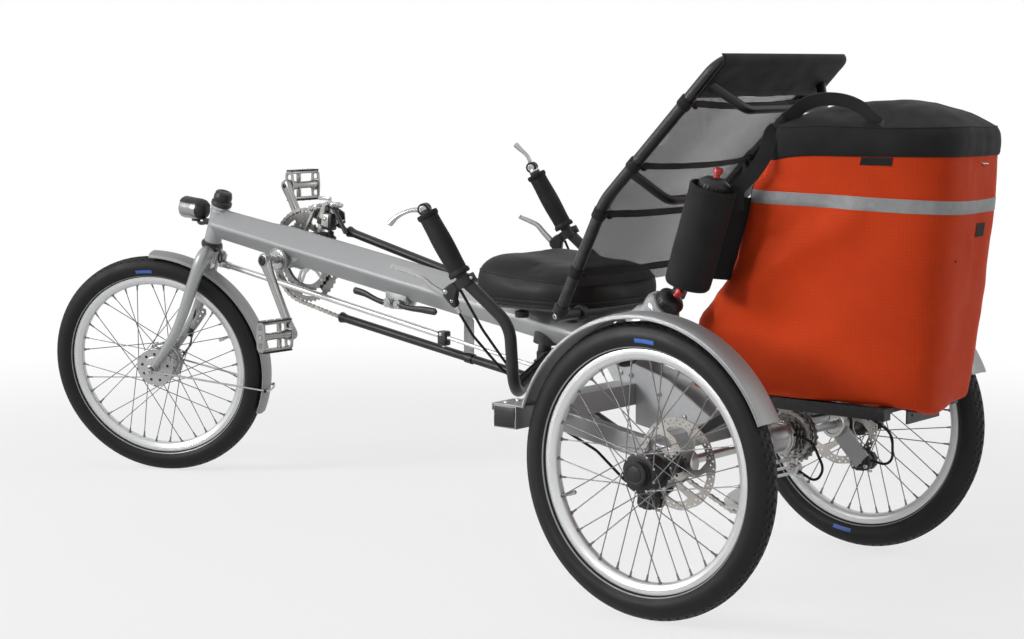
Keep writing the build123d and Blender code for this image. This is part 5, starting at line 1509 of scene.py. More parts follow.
def makeCranks():
    bm = bmesh.new()
    for side, way in ((1, -1), (-1, 1)):
        x = side * crank["x"]
        rows = []
        for at, wide, thick, shift in crank["rows"]:
            row = []
            for a in turns(24):
                r = squareness(a, crank["square"])
                groove = crank["groove"] if 22 < at < 150 and abs(cos(a)) > 0.93 else 0
                row.append(Vector((x + side * shift + thick / 2 * r * cos(a) * (1 - groove), wide / 2 * r * sin(a),
                        way * at)))
            rows.append(row)
        arm = skin(rows, capLow=True, capHigh=True)
        addTo(bm, arm)
        out = moved(x + side * 6.5, 0, 0) @ flip(side)
        addTo(bm, lathe([(-1, 13.5), (1, 13.5), (1.6, 12.6), (1.6, 11), (0.2, 10.6), (-1, 10.6)], 40, loop=True), out)
        addTo(bm, lathe([(-1, 10.8), (1.2, 10.6), (2.2, 9.4), (2.4, 5.4), (1.2, 4.6), (1.2, 0)], 32), out, 2)
        addTo(bm, lathe([(-13, 8.5), (-13, 14), (-14, 15.5), (-1.5, 15.5), (-1.5, 8.5)], 40, loop=True), out)
        end = moved(x, 0, way * crank["reach"]) @ flip(side)
        addTo(bm, lathe([(6.2, 5.2), (7.0, 5.2), (7.6, 6.0), (7.6, 8.0), (6.8, 9.2), (6.2, 9.2)], 24, loop=True), end,
                0)
        addTo(bm, lathe([(-7.4, 0), (-7.4, 4.6), (-6.9, 5.4), (-6, 5.4), (-6, 0)], 24), end, 2)
        addTo(bm, lathe([(6, 0), (6, 8), (10, 8), (10.5, 6.2), (14, 6), (14.5, 4.4), (92, 4.2), (93, 3.4), (93, 0)],
                24), end, 1)
    addTo(bm, lathe([(-66, 0), (-66, 8.5), (66, 8.5), (66, 0)], 28), tint=1)
    makePiece("crankSet", bm, ["polishedAlloy", "brightMetal", "blackPlastic"], "cranks", ["crank_arms"],
            crankSpace, 38)
    # cups of the bottom bracket
    bm = bmesh.new()
    for side in (1, -1):
        addTo(bm, lathe([(33, 9.2), (33, 21), (34, 22), (36.5, 22), (37.5, 20.5), (38, 15), (38, 9.2)], 48, loop=True),
                flip(side))
        for ring in around(8, 0.2):
            addTo(bm, block((1.6, 5, 3), (37.3, 20, 0), 0.4), flip(side) @ ring, 0)
    makePiece("bracketCups", bm, ["brightMetal"], "frame", space=moved(crankMid), smooth=35)


pedal = {"x": 121.8, "half": 42.5, "tall": 68.0, "deep": 27.0, "teeth": 11}


def makePedal(word, side):
    # cage hung upright: toothed strips above and below, end plates and two bridges
    middle = crankSpace @ Vector((side * pedal["x"], 0, -side * crank["reach"]))
    half, tall, deep, count = [pedal[key] for key in ("half", "tall", "deep", "teeth")]
    bm = bmesh.new()
    for z in (-1, 1):
        teeth = []
        for i in range(count):
            x = -half + 5 + (2 * half - 10) * i / count
            teeth += [(x, deep / 2 - 3.2), (x + 2.2, deep / 2), (x + 4.6, deep / 2 - 3.2)]
        teeth.append((half - 4, deep / 2 - 4))
        outline = [(-half, -deep / 2 + 5), (-half, deep / 2 - 5)] + teeth + [(half, deep / 2 - 6),
                (half, -deep / 2 + 6)] + [(x, -y) for x, y in reversed(teeth)]
        strip = plate(outline, 2.6, (), 0.4)
        lay = Matrix(((0, 1, 0, 0), (0, 0, 1, 0), (1, 0, 0, 0), (0, 0, 0, 1)))
        addTo(bm, strip, moved(0, 0, z * (tall / 2 - 1.4)) @ lay, 2)
        addTo(bm, block((2 * half - 8, 17, 6), (0, 0, z * (tall / 2 - 5.6)), 1.8), tint=0)
        for x in (-21, 0, 21):
            addTo(bm, boltHead(3.0, 1.6), moved(x, 0, z * (tall / 2 - 0.2)) @ (upX if z > 0 else downX), 1)
    for x in (half - 2.5, -half + 2.5):
        rimLine = [(-deep / 2 + 2, -tall / 2 + 9), (-deep / 2 + 7, -tall / 2 + 2), (deep / 2 - 7, -tall / 2 + 2),
                (deep / 2 - 2, -tall / 2 + 9), (deep / 2, 0), (deep / 2 - 2, tall / 2 - 9),
                (deep / 2 - 7, tall / 2 - 2), (-deep / 2 + 7, tall / 2 - 2), (-deep / 2 + 2, tall / 2 - 9),
                (-deep / 2, 0)]
        hole = [ringOf(0, 0, 5.2, 20), [(-5, 13), (5, 13), (6, 19), (4, 24), (-4, 24), (-6, 19)],
                [(-5, -13), (-6, -19), (-4, -24), (4, -24), (6, -19), (5, -13)]]
        addTo(bm, plate(rimLine, 4.6, hole, 0.9), moved(x, 0, 0))
    addTo(bm, lathe([(-half + 1, 4.8), (-half + 1, 10), (-half + 12, 10.5), (-half + 20, 7.8), (half - 24, 7.8),
            (half - 14, 10.5), (half - 1, 11), (half, 9.5), (half, 4.8)], 32, loop=True), flip(-side), 0)
    for z in (-1, 1):
        addTo(bm, block((6, 11, tall / 2 - 12), (-side * 12, 0, z * (tall / 4 - 1)), 1.8), tint=0)
    makePiece(word + "PedalCage", bm, ["polishedAlloy", "brightMetal", "blackMetal"], word + "_pedal",
            [word + "_pedal"], moved(middle), 32)


def makeCassette():
    bm = bmesh.new()
    for dx, radius, teeth in ((-14, 53.5, 26), (-9, 48.5, 24), (-4, 43.5, 21), (1, 38.5, 19), (6, 33.5, 16),
            (11, 29.5, 14)):
        holes = [ringOf(0, 0, 21, 36)]
        if radius > 45:
            holes += [sector(29, radius - 9, a, 0.7, 0.82) for a in turns(6)]
        addTo(bm, plate(toothed(teeth, radius, 3.2), 1.9, holes, 0.3), moved(dx, 0, 0), 0 if dx % 2 else 1)
    addTo(bm, lathe([(-17, 8.3), (-17, 19), (-15.5, 21.5), (13, 21.5), (13.5, 18), (17, 17), (17, 8.3)], 40,
            loop=True), tint=1)
    for ring in around(12, 0.1):
        addTo(bm, block((3, 2.2, 3), (15, 15.5, 0), 0.4), ring, 1)
    makePiece("sprockets", bm, ["sprocketSteel", "brightMetal"], "cassette", ["cassette"],
            moved(layout["cassetteX"], 0, layout["axleZ"]), 30)


mechX = -87      # the rear derailleur's place across


def makeRearMech():
    bm = bmesh.new()
    cage = [(-46, 176), (-52, 185), (-62, 186), (-70, 178), (-84, 158), (-128, 128), (-137, 116), (-132, 104),
            (-120, 98), (-106, 104), (-98, 122), (-66, 150), (-50, 160)]
    slots = [[(-72, 150), (-66, 156), (-74, 162), (-80, 155)], [(-92, 130), (-84, 138), (-90, 148), (-101, 139)]]
    for dx in (-6.5, 6.5):
        addTo(bm, plate(cage, 1.8, slots, 0.3), moved(mechX + dx, 0, 0))
    for y, z in ((-58, 168), (-116, 114)):
        addTo(bm, plate(toothed(11, 15.8, 3.0), 2.6, [ringOf(0, 0, 4, 16)] + [ringOf(9 * cos(a), 9 * sin(a), 1.7, 8)
                for a in turns(6)], 0.3), moved(mechX, y, z), 1)
        addTo(bm, lathe([(-8.4, 0), (-8.4, 3.4), (-7.4, 4.4), (7.4, 4.4), (8.6, 3.6), (8.6, 0)], 16),
                moved(mechX, y, z), 2)
    # links and knuckles of the body
    addTo(bm, lathe([(-12, 0), (-12, 8), (-9, 11), (8, 11.5), (10, 9), (12, 8), (12, 0)], 32), moved(-73, 22, 197), 0)
    addTo(bm, boltHead(5.5, 3), moved(-61, 22, 197), 2)
    for dz in (5.5, -6.5):
        addTo(bm, block((9, 66, 5.5), (-75, -14, 184 + dz), 1.6), moved(0, -14, 184) @ turned(0.33)
                @ moved(0, 14, -184), 0)
    addTo(bm, lathe([(-13, 0), (-13, 9), (-11, 11), (9, 11), (11, 9.5), (11, 0)], 32), moved(-77, -56, 172), 0)
    addTo(bm, block((8, 12, 16), (-68, 24, 210), 2), tint=0)
    addTo(bm, lathe([(0, 2.8), (6, 3.4), (7, 4.6), (15, 4.6), (16, 3.6), (16, 2)], 14), moved(-73, 26, 186) @ backX, 2)
    makePiece("rearMech", bm, ["satinAlloy", "blackPlastic", "brightMetal"], "frame", ["rear_derailleur"],
            smooth=32)


def makeFrontMech():
    bm = bmesh.new()
    y, z = -1152.0, 534.6
    # saddle on the boom, post, clamp body and cage
    addTo(bm, block((38, 24, 8), (-24, y, z + 34), 2))
    for side in (1, -1):
        addTo(bm, boltHead(4, 3), moved(-24 + side * 12, y, z + 38) @ upX, 1)
    addTo(bm, lathe([(0, 8.4), (0, 11), (12, 11), (12, 8.4)], 28, loop=True),
            aim((-33, y + 5, z + 56), (-33, y + 14, z + 98)))
    tipped = moved(0, y + 20, z + 62) @ turned(-0.12)
    for size, middle, edge, tint in (
            ((22, 36, 38), (-38, 0, 0), 5, 0), ((3, 24, 27), (-26.6, -1, 1), 1.4, 1),
            ((3, 18, 21), (-25.6, -1, 1), 1.2, 2)):
        addTo(bm, block(size, middle, edge), tipped, tint)
    # post, and the arms and pivots above the box
    for start, end, radius, sides, edge, tint in (
            ((-33, 0, 30), (-33, 14, 98), 8, 28, 1.5, 1), ((-34, -22, 84), (-34, 34, 102), 5.4, 20, 1.2, 1),
            ((-44, -4, 92), (-44, 56, 96), 4.6, 20, 1.0, 1), ((-33, -44, 34), (-33, -14, 92), 5.2, 20, 1.2, 1),
            ((-36, 40, 88), (-36, 74, 38), 5.0, 20, 1.2, 0)):
        addTo(bm, pin(start, end, radius, sides, edge), moved(0, y, z), tint)
    for size, middle, edge in (((26, 12, 9), (-38, 40, 98), 2.6), ((24, 16, 12), (-38, -12, 90), 3),
                               ((10, 34, 8), (-36, 12, 110), 2.4), ((26, 11, 3), (-52, 16, 81.9), 1),
                               ((26, 9, 3), (-52, 40, 62.4), 1)):
        addTo(bm, block(size, middle, edge), moved(0, y, z), 1)
    for spot in ((-27, -20, 85), (-27, 34, 101), (-26, 8, 96), (-30, 54, 97)):
        addTo(bm, boltHead(4.4, 4), moved(0, y, z) @ moved(spot), 1)
    addTo(bm, boltHead(4, 3), moved(-25, y + 22, z + 66), 1)
    side = [(-42, 13), (-20, 18), (24, 12), (44, 2), (46, -20), (34, -26), (-10, -15), (-32, -9), (-44, 2)]
    window = [(-6, 2), (20, -3), (22, -12), (-4, -6)]
    for x in (-64, -40):
        addTo(bm, plate(side, 1.8, [window], 0.4), moved(x, y, 612), 1)
    makePiece("frontMech", bm, ["blackMetal", "brightMetal", "paleWindow"], "frame", ["front_derailleur"],
            smooth=34)


def makeCalipers():
    bm = bmesh.new()
    for side, y, lean in ((1, -52, 1), (-1, 52, -1)):
        place = moved(side * layout["rotorX"], y, 187)
        for way in (-1, 1):
            outline = [(-22, -10), (-17, -17), (14, -17), (21, -9), (22, 6), (15, 15), (-12, 17), (-20, 10)]
            addTo(bm, plate(outline, 14.5, (), 2.6), place @ moved(way * 9.2, 0, 0))
            addTo(bm, lathe([(0, 13), (2, 12.6), (3, 11), (3, 9), (1.5, 8.5), (1.5, 0)], 32),
                    place @ moved(way * 16.2, 2, 0) @ flip(way), 1 if way * side > 0 else 0)
        addTo(bm, block((34, 18, 9), (0, 0, -14), 2.5), place)
        for dy in (-14, 14):
            addTo(bm, boltHead(4.2, 3.5), place @ moved(0, dy, -18.5) @ downX, 2)
            addTo(bm, boltHead(4.6, 4), place @ moved(-side * 17, dy, -8) @ flip(-side), 2)
        # arm that the cable pulls, with its return spring
        addTo(bm, plate([(-5, -4), (5, -6), (9, 16), (8, 30), (-2, 32), (-6, 14)], 3, [(3, 26, 1.6)], 0.6),
                place @ moved(-side * 20.5, 0, 0) @ turned(-0.5 * lean), 2)
        addTo(bm, pin((-side * 12, lean * 22, 12), (-side * 12, lean * 34, 18), 4.2, 16), place, 1)
    makePiece("calipers", bm, ["blackMetal", "blackPlastic", "brightMetal"], "frame", ["brake_calipers"],
            smooth=34)


runs = makeChain()
makeRings()
makeCranks()
makePedal("left", 1)
makePedal("right", -1)
makeCassette()
makeRearMech()
makeFrontMech()
makeCalipers()
print("drive made")


# the handlebar's pieces are built on the bar as it stands straight
bar = {"low": Vector((325, -556, 569)), "high": Vector((325, -622, 690)), "grip": (5.0, 132.0), "gripRadius": 17.4,
       # for the left and the right side: steps across and along the grip
       "shifterReach": {1: ((4, 0), (20, 9), (37, 13), (57, 13), (75, 8)),
                        -1: ((2, 3), (-3, 16), (-2, 30), (4, 46), (8, 60))},
       "bladeReach": {1: ((-1, -8), (9, 2), (21, 22), (30, 43), (47, 64), (64, 80), (72, 88)),
                      -1: ((-1, -8), (4, 8), (9, 28), (13, 46), (24, 62), (34, 74), (38, 80))}}


def barSide(side):
    along = (bar["high"] - bar["low"]).normalized()
    across = Vector((0, -along.z, along.y))
    low, high = bar["low"].copy(), bar["high"].copy()
    low.x *= side
    high.x *= side
    return low, high, along, across


def makeGrips():
    bm = bmesh.new()
    for side in (1, -1):
        low, high, *_ = barSide(side)
        a, b = bar["grip"]
        r = bar["gripRadius"]
        profile = [(a, 11.1), (a, r + 1.6), (a + 1.6, r + 3.0), (a + 7, r + 3.0), (a + 9, r + 1.4), (a + 11, r)]
        count = 40
        for k in range(count):
            at = a + 12 + (b - a - 26) * k / (count - 1)
            swell = 1.3 * sin(pi * k / (count - 1)) ** 2
            profile.append((at, r + (0.45 if k % 2 else 0) + swell))
        profile += [(b - 11, r), (b - 9, r + 1.4), (b - 7, r + 2.8), (b - 1.6, r + 2.8), (b, r + 1.4), (b, 11.1)]
        grip = lathe(profile, 40, loop=True)
        addTo(bm, grip, aim(low, high))
    makePiece("barGrips", bm, ["gripRubber", "brightMetal"], "handlebar", ["grips"], barSpace, 40)


def makeShifters():
    bm = bmesh.new()
    for side in (1, -1):
        _, high, along, across = barSide(side)
        middle = high + along * (1.5 if side > 0 else 10.0)
        drum = moved(middle)
        addTo(bm, lathe([(-8, 0), (-8, 10.5), (-7, 11.4), (-2, 11.4), (-1.5, 10.4), (1.5, 10.4), (2, 11.4), (7, 11.4),
                (8, 10.5), (8, 0)], 40), drum, 1)
        for way in (1, -1):
            disc = drum @ moved(way * 8, 0, 0) @ flip(way)
            addTo(bm, lathe([(-0.5, 9.8), (1.0, 9.6), (1.6, 8.6), (1.2, 7.4), (0.6, 7.0)], 32), disc, 1)
            addTo(bm, lathe([(0.2, 7.4), (1.0, 7.2), (1.3, 6), (1.3, 3.2), (0.4, 2.8), (0.4, 0)], 24), disc)
        addTo(bm, lathe([(0, 0), (0, 9), (2, 10.8), (5, 10.8), (9, 9), (11, 7)], 28), aim(middle - along * 12, middle))
        # lever: up and forward from the drum, then down
        line = bend([middle + across * a + along * b for a, b in bar["shifterReach"][side]], 5)
        addTo(bm, sweep(line, lambda t: (9 + 3 * t, 11.5 - 4.0 * sin(pi * min(1.0, t * 1.1)) + 0.5 * t), tip=0.6))
    makePiece("barShifters", bm, ["brightMetal", "blackPlastic"], "handlebar", ["shifters"], barSpace,
            38)


def makeLevers():
    bm = bmesh.new()
    for side in (1, -1):
        low, _, along, across = barSide(side)
        clip = low - along * 9
        addTo(bm, lathe([(-9, 11.1), (-9, 16), (-8, 17), (8, 17), (9, 16), (9, 11.1)], 40, loop=True),
                aim(clip, clip + along), 1)
        for way in (1, -1):
            addTo(bm, block((5, 12, 16), (0, 0, 0), 1.4), moved(clip - across * 17 + xWay * way * 3.4) @ turned(0.5),
                    1)
        addTo(bm, boltHead(3.6, 3), moved(clip - across * 18 + xWay * side * 6) @ flip(side))
        # pod: a rounded wedge that holds the blade's pivot and the cable
        pivot = clip + across * 38
        outline = [clip + across * a + along * b for a, b in ((13, 8), (26, 9))]
        outline += [pivot + across * a + along * b for a, b in ((5, 6), (9, -4), (6, -20), (3, -33), (-7, -34),
                (-10, -22))]
        outline += [clip + across * a + along * b for a, b in ((20, -12), (13, -8))]
        addTo(bm, plate([(p.y, p.z) for p in outline], 17, (), 3.2), moved(pivot.x, 0, 0), 1)
        face = xWay * (side * 7.6)
        addTo(bm, boltHead(4.6, 2.6), moved(pivot + face) @ flip(side))
        addTo(bm, boltHead(3.2, 2.0), moved(pivot - along * 20 - across * 2 + face) @ flip(side))
        foot = pivot - across * 1.5 - along * 33
        addTo(bm, lathe([(0, 5.2), (4, 5.2), (4.5, 4.2), (12, 4.2), (13, 3.4), (13, 2.6)], 18),
                aim(foot, foot - along))
        # blade, curved away from the grip
        line = bend([pivot + across * a + along * b for a, b in bar["bladeReach"][side]], 5)
        addTo(bm, sweep(line, lambda t: (14 - 2.5 * t + (2.6 if t > 0.93 else 0), 13 - 5.5 * t
                + (1.6 if t > 0.93 else 0)), dent=0.6))
    makePiece("barLevers", bm, ["brightMetal", "blackPlastic"], "handlebar", ["brake_levers"],
            barSpace, 36)


makeGrips()
makeShifters()
makeLevers()


def makeLamp():
    bm = bmesh.new()
    back, front = Vector((0, -1482, 605.5)), Vector((0, -1546, 610.2))
    place = aim(back, front)
    addTo(bm, lathe([(-7, 0), (-6, 9), (-3, 15), (2, 19.6), (7, 22), (10, 22.8), (11, 22.8), (11, 0)], 56), place, 4)
    addTo(bm, lathe([(10.5, 0), (10.5, 21.6), (12, 22.4), (30, 22.6), (46, 23.0), (58, 23.6), (61, 23.4), (61.6, 22.6),
            (61.6, 20.5), (57, 20)], 64), place)
    # visor over the top, wider towards the back
    hood = lathe([(-4, 15.4), (1, 21.0), (7, 24.0), (14, 25.0), (40, 25.2), (61, 25.8), (62, 25.2), (61, 24.2),
            (40, 23.4), (14, 23.2), (7, 22.2), (1, 19.0)], 24, radians(116), loop=True)
    bmesh.ops.holes_fill(hood, edges=[e for e in hood.edges if e.is_boundary], sides=0)
    addTo(bm, hood, place @ turned(radians(32)), 4)
    addTo(bm, lathe([(57, 21), (60.5, 20), (62.8, 15), (63.8, 8), (64.2, 0)], 48), place, 1)
    addTo(bm, lathe([(40, 0), (42, 6), (50, 15), (56.5, 20.4)], 48), place, 2)
    addTo(bm, lathe([(44, 0), (44, 4), (52, 4), (53, 2.6), (53, 0)], 20), place, 3)
    # bracket down to the boom
    addTo(bm, tube([(0, -1506, 586), (0, -1503, 578), (0, -1492, 575), (0, -1470, 580)], 4.2, detail=4), tint=4)
    addTo(bm, block((12, 20, 16), (0, -1511, 588), 3), tint=4)
    addTo(bm, boltHead(5, 3.4), moved(6, -1511, 589), 0)
    addTo(bm, boltHead(5, 3.4), moved(-6, -1511, 589) @ flip(-1), 0)
    addTo(bm, block((9, 30, 14), (0, -1470, 581), 2), tint=4)
    makePiece("lamp", bm, ["polishedAlloy", "lampGlass", "brightMetal", "paleWindow", "blackPlastic"], "frame",
            ["headlamp"], smooth=36)


forkEnd = forkSpace.inverted() @ (wheelSpaces["front"] @ Vector((0, 0, 0)))
fork = {
    # x, y back, z up the steering axis, radius, squeeze
    "blade": ((10, 0, 303, 12.5, 1), (24, 0, 304, 14.2, 1), (36, -0.5, 300, 14.8, 1), (45, -1.5, 288, 14.8, 1),
        (48.5, -3, 268, 14.4, 1), (48.8, -7, 225, 13.6, 0.95), (48.8, -12, 165, 12.2, 0.92),
        (48.8, -18, 118, 11.0, 0.9), (48.6, -30, 72, 9.8, 0.9), (48.2, -45, 28, 8.6, 0.9)),
    "tipRadius": 7.6, "tipX": 48.0,
    "armRadii": [9, 9, 9.4, 9.6, 10, 10, 10.4, 10.6, 11, 11, 11, 11, 11],
    # the drum brake's cable, from the front axle; x counts towards the far side
    "brakeCable": ((41, 36, 26), (40, 46, 52), (38, 44, 84), (40, 40, 130), (42, 46, 180), (42, 62, 226),
        (40, 66, 244))}


def makeSteeringTop():
    bm = bmesh.new()
    cap = [(410.6, 14.4), (410.6, 21.5), (411.6, 23), (418, 23.2), (420, 22.4), (421.4, 20.4), (423, 19.2),
            (424.5, 19.6), (426.5, 20.6), (433, 20.4), (435, 19.4), (437, 18.8), (439.5, 18.6), (441.6, 17.2),
            (443, 14.2), (443.4, 9), (442, 7.4), (442, 0)]
    addTo(bm, lathe(cap, 48), upX)
    makePiece("steeringTop", bm, ["blackMetal"], "fork", ["steering_cap"], forkSpace, 35)


def makeHeadRings():
    bm = bmesh.new()
    addTo(bm, lathe([(311, 15), (311, 21), (312, 23.4), (315, 24), (320, 23.6), (322, 21.4), (324, 20.4), (324, 15)],
            48, loop=True), upX, 1)
    addTo(bm, lathe([(403, 15), (403, 20), (404, 21), (409, 21), (410, 20), (410, 15)], 48, loop=True), upX)
    addTo(bm, lathe([(396, 19), (396.5, 19.8), (402, 19.8), (402.5, 19)], 40), upX, 0)
    # cable that leaves the lower cup in a small loop
    loop = bend([Vector((8, 24, 318)), Vector((6, 38, 312)), Vector((4, 44, 298)), Vector((2, 38, 288)),
            Vector((0, 31, 292)), Vector((0, 28, 306))], 6)
    addTo(bm, roundLoop(loop, 2.2, 8, closed=False), tint=1)
    makePiece("headRings", bm, ["satinAlloy", "blackMetal"], "frame", space=straightFork, smooth=35)


def makeForkBlades():
    # two curved blades that run into the crown
    bm = bmesh.new()
    hub, detail = forkEnd, 5
    for side in (1, -1):
        row = [(side * x, y, z, radius, squeeze) for x, y, z, radius, squeeze in fork["blade"] if z > hub.z + 22]
        tip = Vector((side * fork["tipX"], hub.y, hub.z))
        line = [Vector(p[:3]) for p in row] + [tip]
        radii, squeezes = [p[3] for p in row] + [fork["tipRadius"]], [p[4] for p in row] + [0.8]
        fine, wide, press = bend(line, detail), [], []
        for k in range(len(fine)):
            at = k / detail
            low = min(int(at), len(radii) - 2)
            wide.append(radii[low] + (radii[low + 1] - radii[low]) * (at - low))
            press.append(squeezes[low] + (squeezes[low + 1] - squeezes[low]) * (at - low))
        addTo(bm, taper(fine, wide, 24, press))
        addTo(bm, lathe([(-5, 5.2), (-5, 11), (-4, 12.2), (4, 12.2), (5, 11), (5, 5.2)], 32, loop=True), moved(tip))
    addTo(bm, lathe([(283, 0), (283, 9), (286, 14), (292, 17.4), (300, 19.4), (306, 19.8), (306, 0)], 48), upX)
    eye = forkSpace.inverted() @ rodFront
    addTo(bm, pin(eye + Vector((0, 0, 8.4)), eye + Vector((0, 0, 24)), 7, 24, 1.5))
    arm = [Vector((eye.x, eye.y, eye.z + 20)), Vector((eye.x, eye.y * 0.55, eye.z + 21)),
            Vector((eye.x + 4, 4, eye.z + 22)), Vector((eye.x + 8, 0, eye.z + 24))]
    addTo(bm, taper(bend(arm, 4), fork["armRadii"], 20, [0.55] * len(fork["armRadii"])))
    makePiece("forkBlades", bm, ["forkPaint"], "fork", ["fork"], forkSpace, 45)


def makeForkTrim():
    # lower race and what is bolted to the fork's tips
    bm = bmesh.new()
    hub = forkEnd
    addTo(bm, lathe([(306, 15), (306, 19.5), (307, 20.6), (309.6, 20.6), (310.4, 19.6), (310.4, 15)], 48, loop=True),
            upX, 1)
    for side in (1, -1):
        at = hub + Vector((side * 53.4, 0, 0))
        out = flip(side)
        addTo(bm, lathe([(0, 5.2), (0, 10.6), (0.8, 11.2), (2.2, 11.2), (2.8, 10.4), (2.8, 5.2)], 36, loop=True),
                moved(at) @ out)
        addTo(bm, lathe([(10, 0), (10, 8.6), (10.6, 9.2), (16, 9.2), (17, 8.2), (17.6, 5.4), (20, 5.2), (20.6, 4.4),
                (20.6, 0)], 6), moved(at) @ out)
    # drum brake's plate and arm on the far side, with its cable up the blade
    side = -1
    arm = [(-6, -8), (6, -8), (9, 0), (10, 30), (7, 46), (-3, 47), (-7, 30), (-9, 0)]
    addTo(bm, plate(arm, 3.0, [(1, 40, 2.4), (0, 26, 3), (0, 12, 3)], 0.5), moved(hub + Vector((side * 41, 0, 0)))
            @ turned(-0.9))
    addTo(bm, lathe([(35, 11), (35, 33), (36.5, 34), (38.5, 32), (39.5, 20), (40.2, 11)], 48), moved(hub) @ flip(side),
            2)
    line = [hub + Vector((side * x, y, z)) for x, y, z in fork["brakeCable"]]
    addTo(bm, roundLoop(bend(line, 8), 2.4, 8, closed=False), tint=3)
    addTo(bm, block((7, 12, 26), (0, 0, 0), 2), moved(hub + Vector((side * 40, 42, 84))), 1)
    addTo(bm, plate([(-7, -16), (7, -16), (9, 0), (12, 34), (6, 44), (-6, 42), (-9, 0)], 2.4,
            [(2, 34, 2.6), (0, 22, 3), (0, 8, 3)], 0.4), moved(hub + Vector((side * 36, 48, 108))) @ turned(-0.25), 0)
    makePiece("forkTrim", bm, ["brightMetal", "blackMetal", "satinAlloy", "gripRubber"], "fork", space=forkSpace,
            smooth=35)


clampHandles = {
    # y and z of each pin, and the line of each lever
    "pins": ((-900.0, 442.5), (-872.0, 441.5)),
    "lines": (((-896, 442.6), (-910, 442.6), (-924, 445), (-943, 450.5), (-961, 456.4), (-979, 460), (-995, 462)),
              ((-876, 441.6), (-862, 440), (-849, 437), (-830, 435.6), (-808, 435.6), (-786, 434.6), (-765, 433.4)))}


def makeClampLevers():
    bm = bmesh.new()
    for (y, z), line in zip(clampHandles["pins"], clampHandles["lines"]):
        addTo(bm, lathe([(-24, 0), (-24, 7), (-22, 8.5), (-15, 8.5), (-14.4, 4), (18, 4), (18.6, 8.4), (22, 9.6),
                (30, 9.6), (31.5, 8), (31.5, 4.4), (32.6, 4), (32.6, 0)], 28), moved(0, y, z), 1)
        bow = bend([Vector((27, a, b)) for a, b in line], 4)
        addTo(bm, sweep(bow, lambda t: (9.5, 13 + 1.8 * sin(2 * pi * t + 2.4)), 14, tip=0.6))
    makePiece("clampHandles", bm, ["blackMetal", "brightMetal"], "frame", ["clamp_levers"], smooth=36)


makeLamp()
makeSteeringTop()
makeHeadRings()
makeForkBlades()
makeForkTrim()
makeClampLevers()
print("cockpit made")


def weld(points, radius):
    # uneven bead along points
    bm = roundLoop(points, radius, 6)
    for vert in bm.verts:
        spot = vert.co * 0.7
        vert.co += Vector([noise.noise(spot + Vector(shift)) for shift in ((0, 0, 0), (9, 0, 0), (0, 9, 0))]) * 0.4
    return bm


def squareRing(half, round):
    # corner-standing square outline in the plane across the main tube
    line, count = [], 8
    for k in range(4):
        a = pi / 2 * k
        centre = Vector((cos(a), sin(a))) * ((half - round) * sqrt(2))
        for j in range(count + 1):
            b = a - pi / 4 + pi / 2 * j / count
            line.append((centre.x + round * cos(b), centre.y + round * sin(b)))
    return line


frameTubes = {
    # place along the tube, half of its side
    "front": ((-130.5, 25.0), (-130.5, 26.0), (-60, 26.4), (30, 27.2), (74, 29.4), (96, 30.0), (240, 30.0),
        (400, 30.0), (586, 30.0), (587.5, 29.2), (587.5, 28.1)),
    "rear": ((560, 27.6), (560, 28.0), (760, 28.0), (900, 28.0), (1043.5, 28.0), (1044.7, 27.2)),
    "lug": ((-919, 466), (-861, 458), (-861, 440), (-866, 432), (-874, 429), (-906, 429), (-914, 432), (-919, 440)),
    "strip": ((-18, 451), (-57, 408), (-57, 342), (-60, 342), (-60, 409.5), (-22, 455.5))}


def makeSleeve():
    bm = bmesh.new()
    rows = [[Vector((x, at, z)) for x, z in squareRing(half, 8)] for at, half in frameTubes["front"]]
    addTo(bm, skin(rows, capLow=True), tubeSpace)
    # flared bracket round the crank shell
    for side in (1, -1):
        addTo(bm, lathe([(16, 20.5), (24, 22.5), (31, 26), (34.6, 26.6), (36, 25.8), (36, 20.5)], 48), moved(crankMid)
                @ flip(side))
        outline = [(-1241, 532), (-1238, 508), (-1229, 495), (-1214, 491), (-1200, 494), (-1186, 504), (-1146, 524),
                (-1146, 534)]
        addTo(bm, plate(outline, 4, [ringOf(crankMid.y, crankMid.z, 20, 24)], 0.8), moved(side * 21, 0, 0))
    makePiece("boomSleeve", bm, ["silverPaint"], "frame", smooth=50)


def makeRearTube():
    bm = bmesh.new()
    rows = [[Vector((x, at, z)) for x, z in squareRing(half, 9)] for at, half in frameTubes["rear"]]
    addTo(bm, skin(rows, capLow=True, capHigh=True), tubeSpace)
    for x in (-8.5, 8.5):
        addTo(bm, plate(list(frameTubes["lug"]), 9, (), 1.5), moved(x, 0, 0))
    across = Matrix(((0, 1, 0, 0), (1, 0, 0, 0), (0, 0, 1, 0), (0, 0, 0, 1)))
    addTo(bm, plate(list(frameTubes["strip"]), 26, (), 0.6), moved(0, layout["tubeGuideY"], 0) @ across)
    makePiece("rearTube", bm, ["silverPaint"], "frame", ["main_tube"], smooth=50)


# corners and middles of a square
aroundBox = ((-1, -1), (0, -1), (1, -1), (1, 0), (1, 1), (0, 1), (-1, 1), (-1, 0))


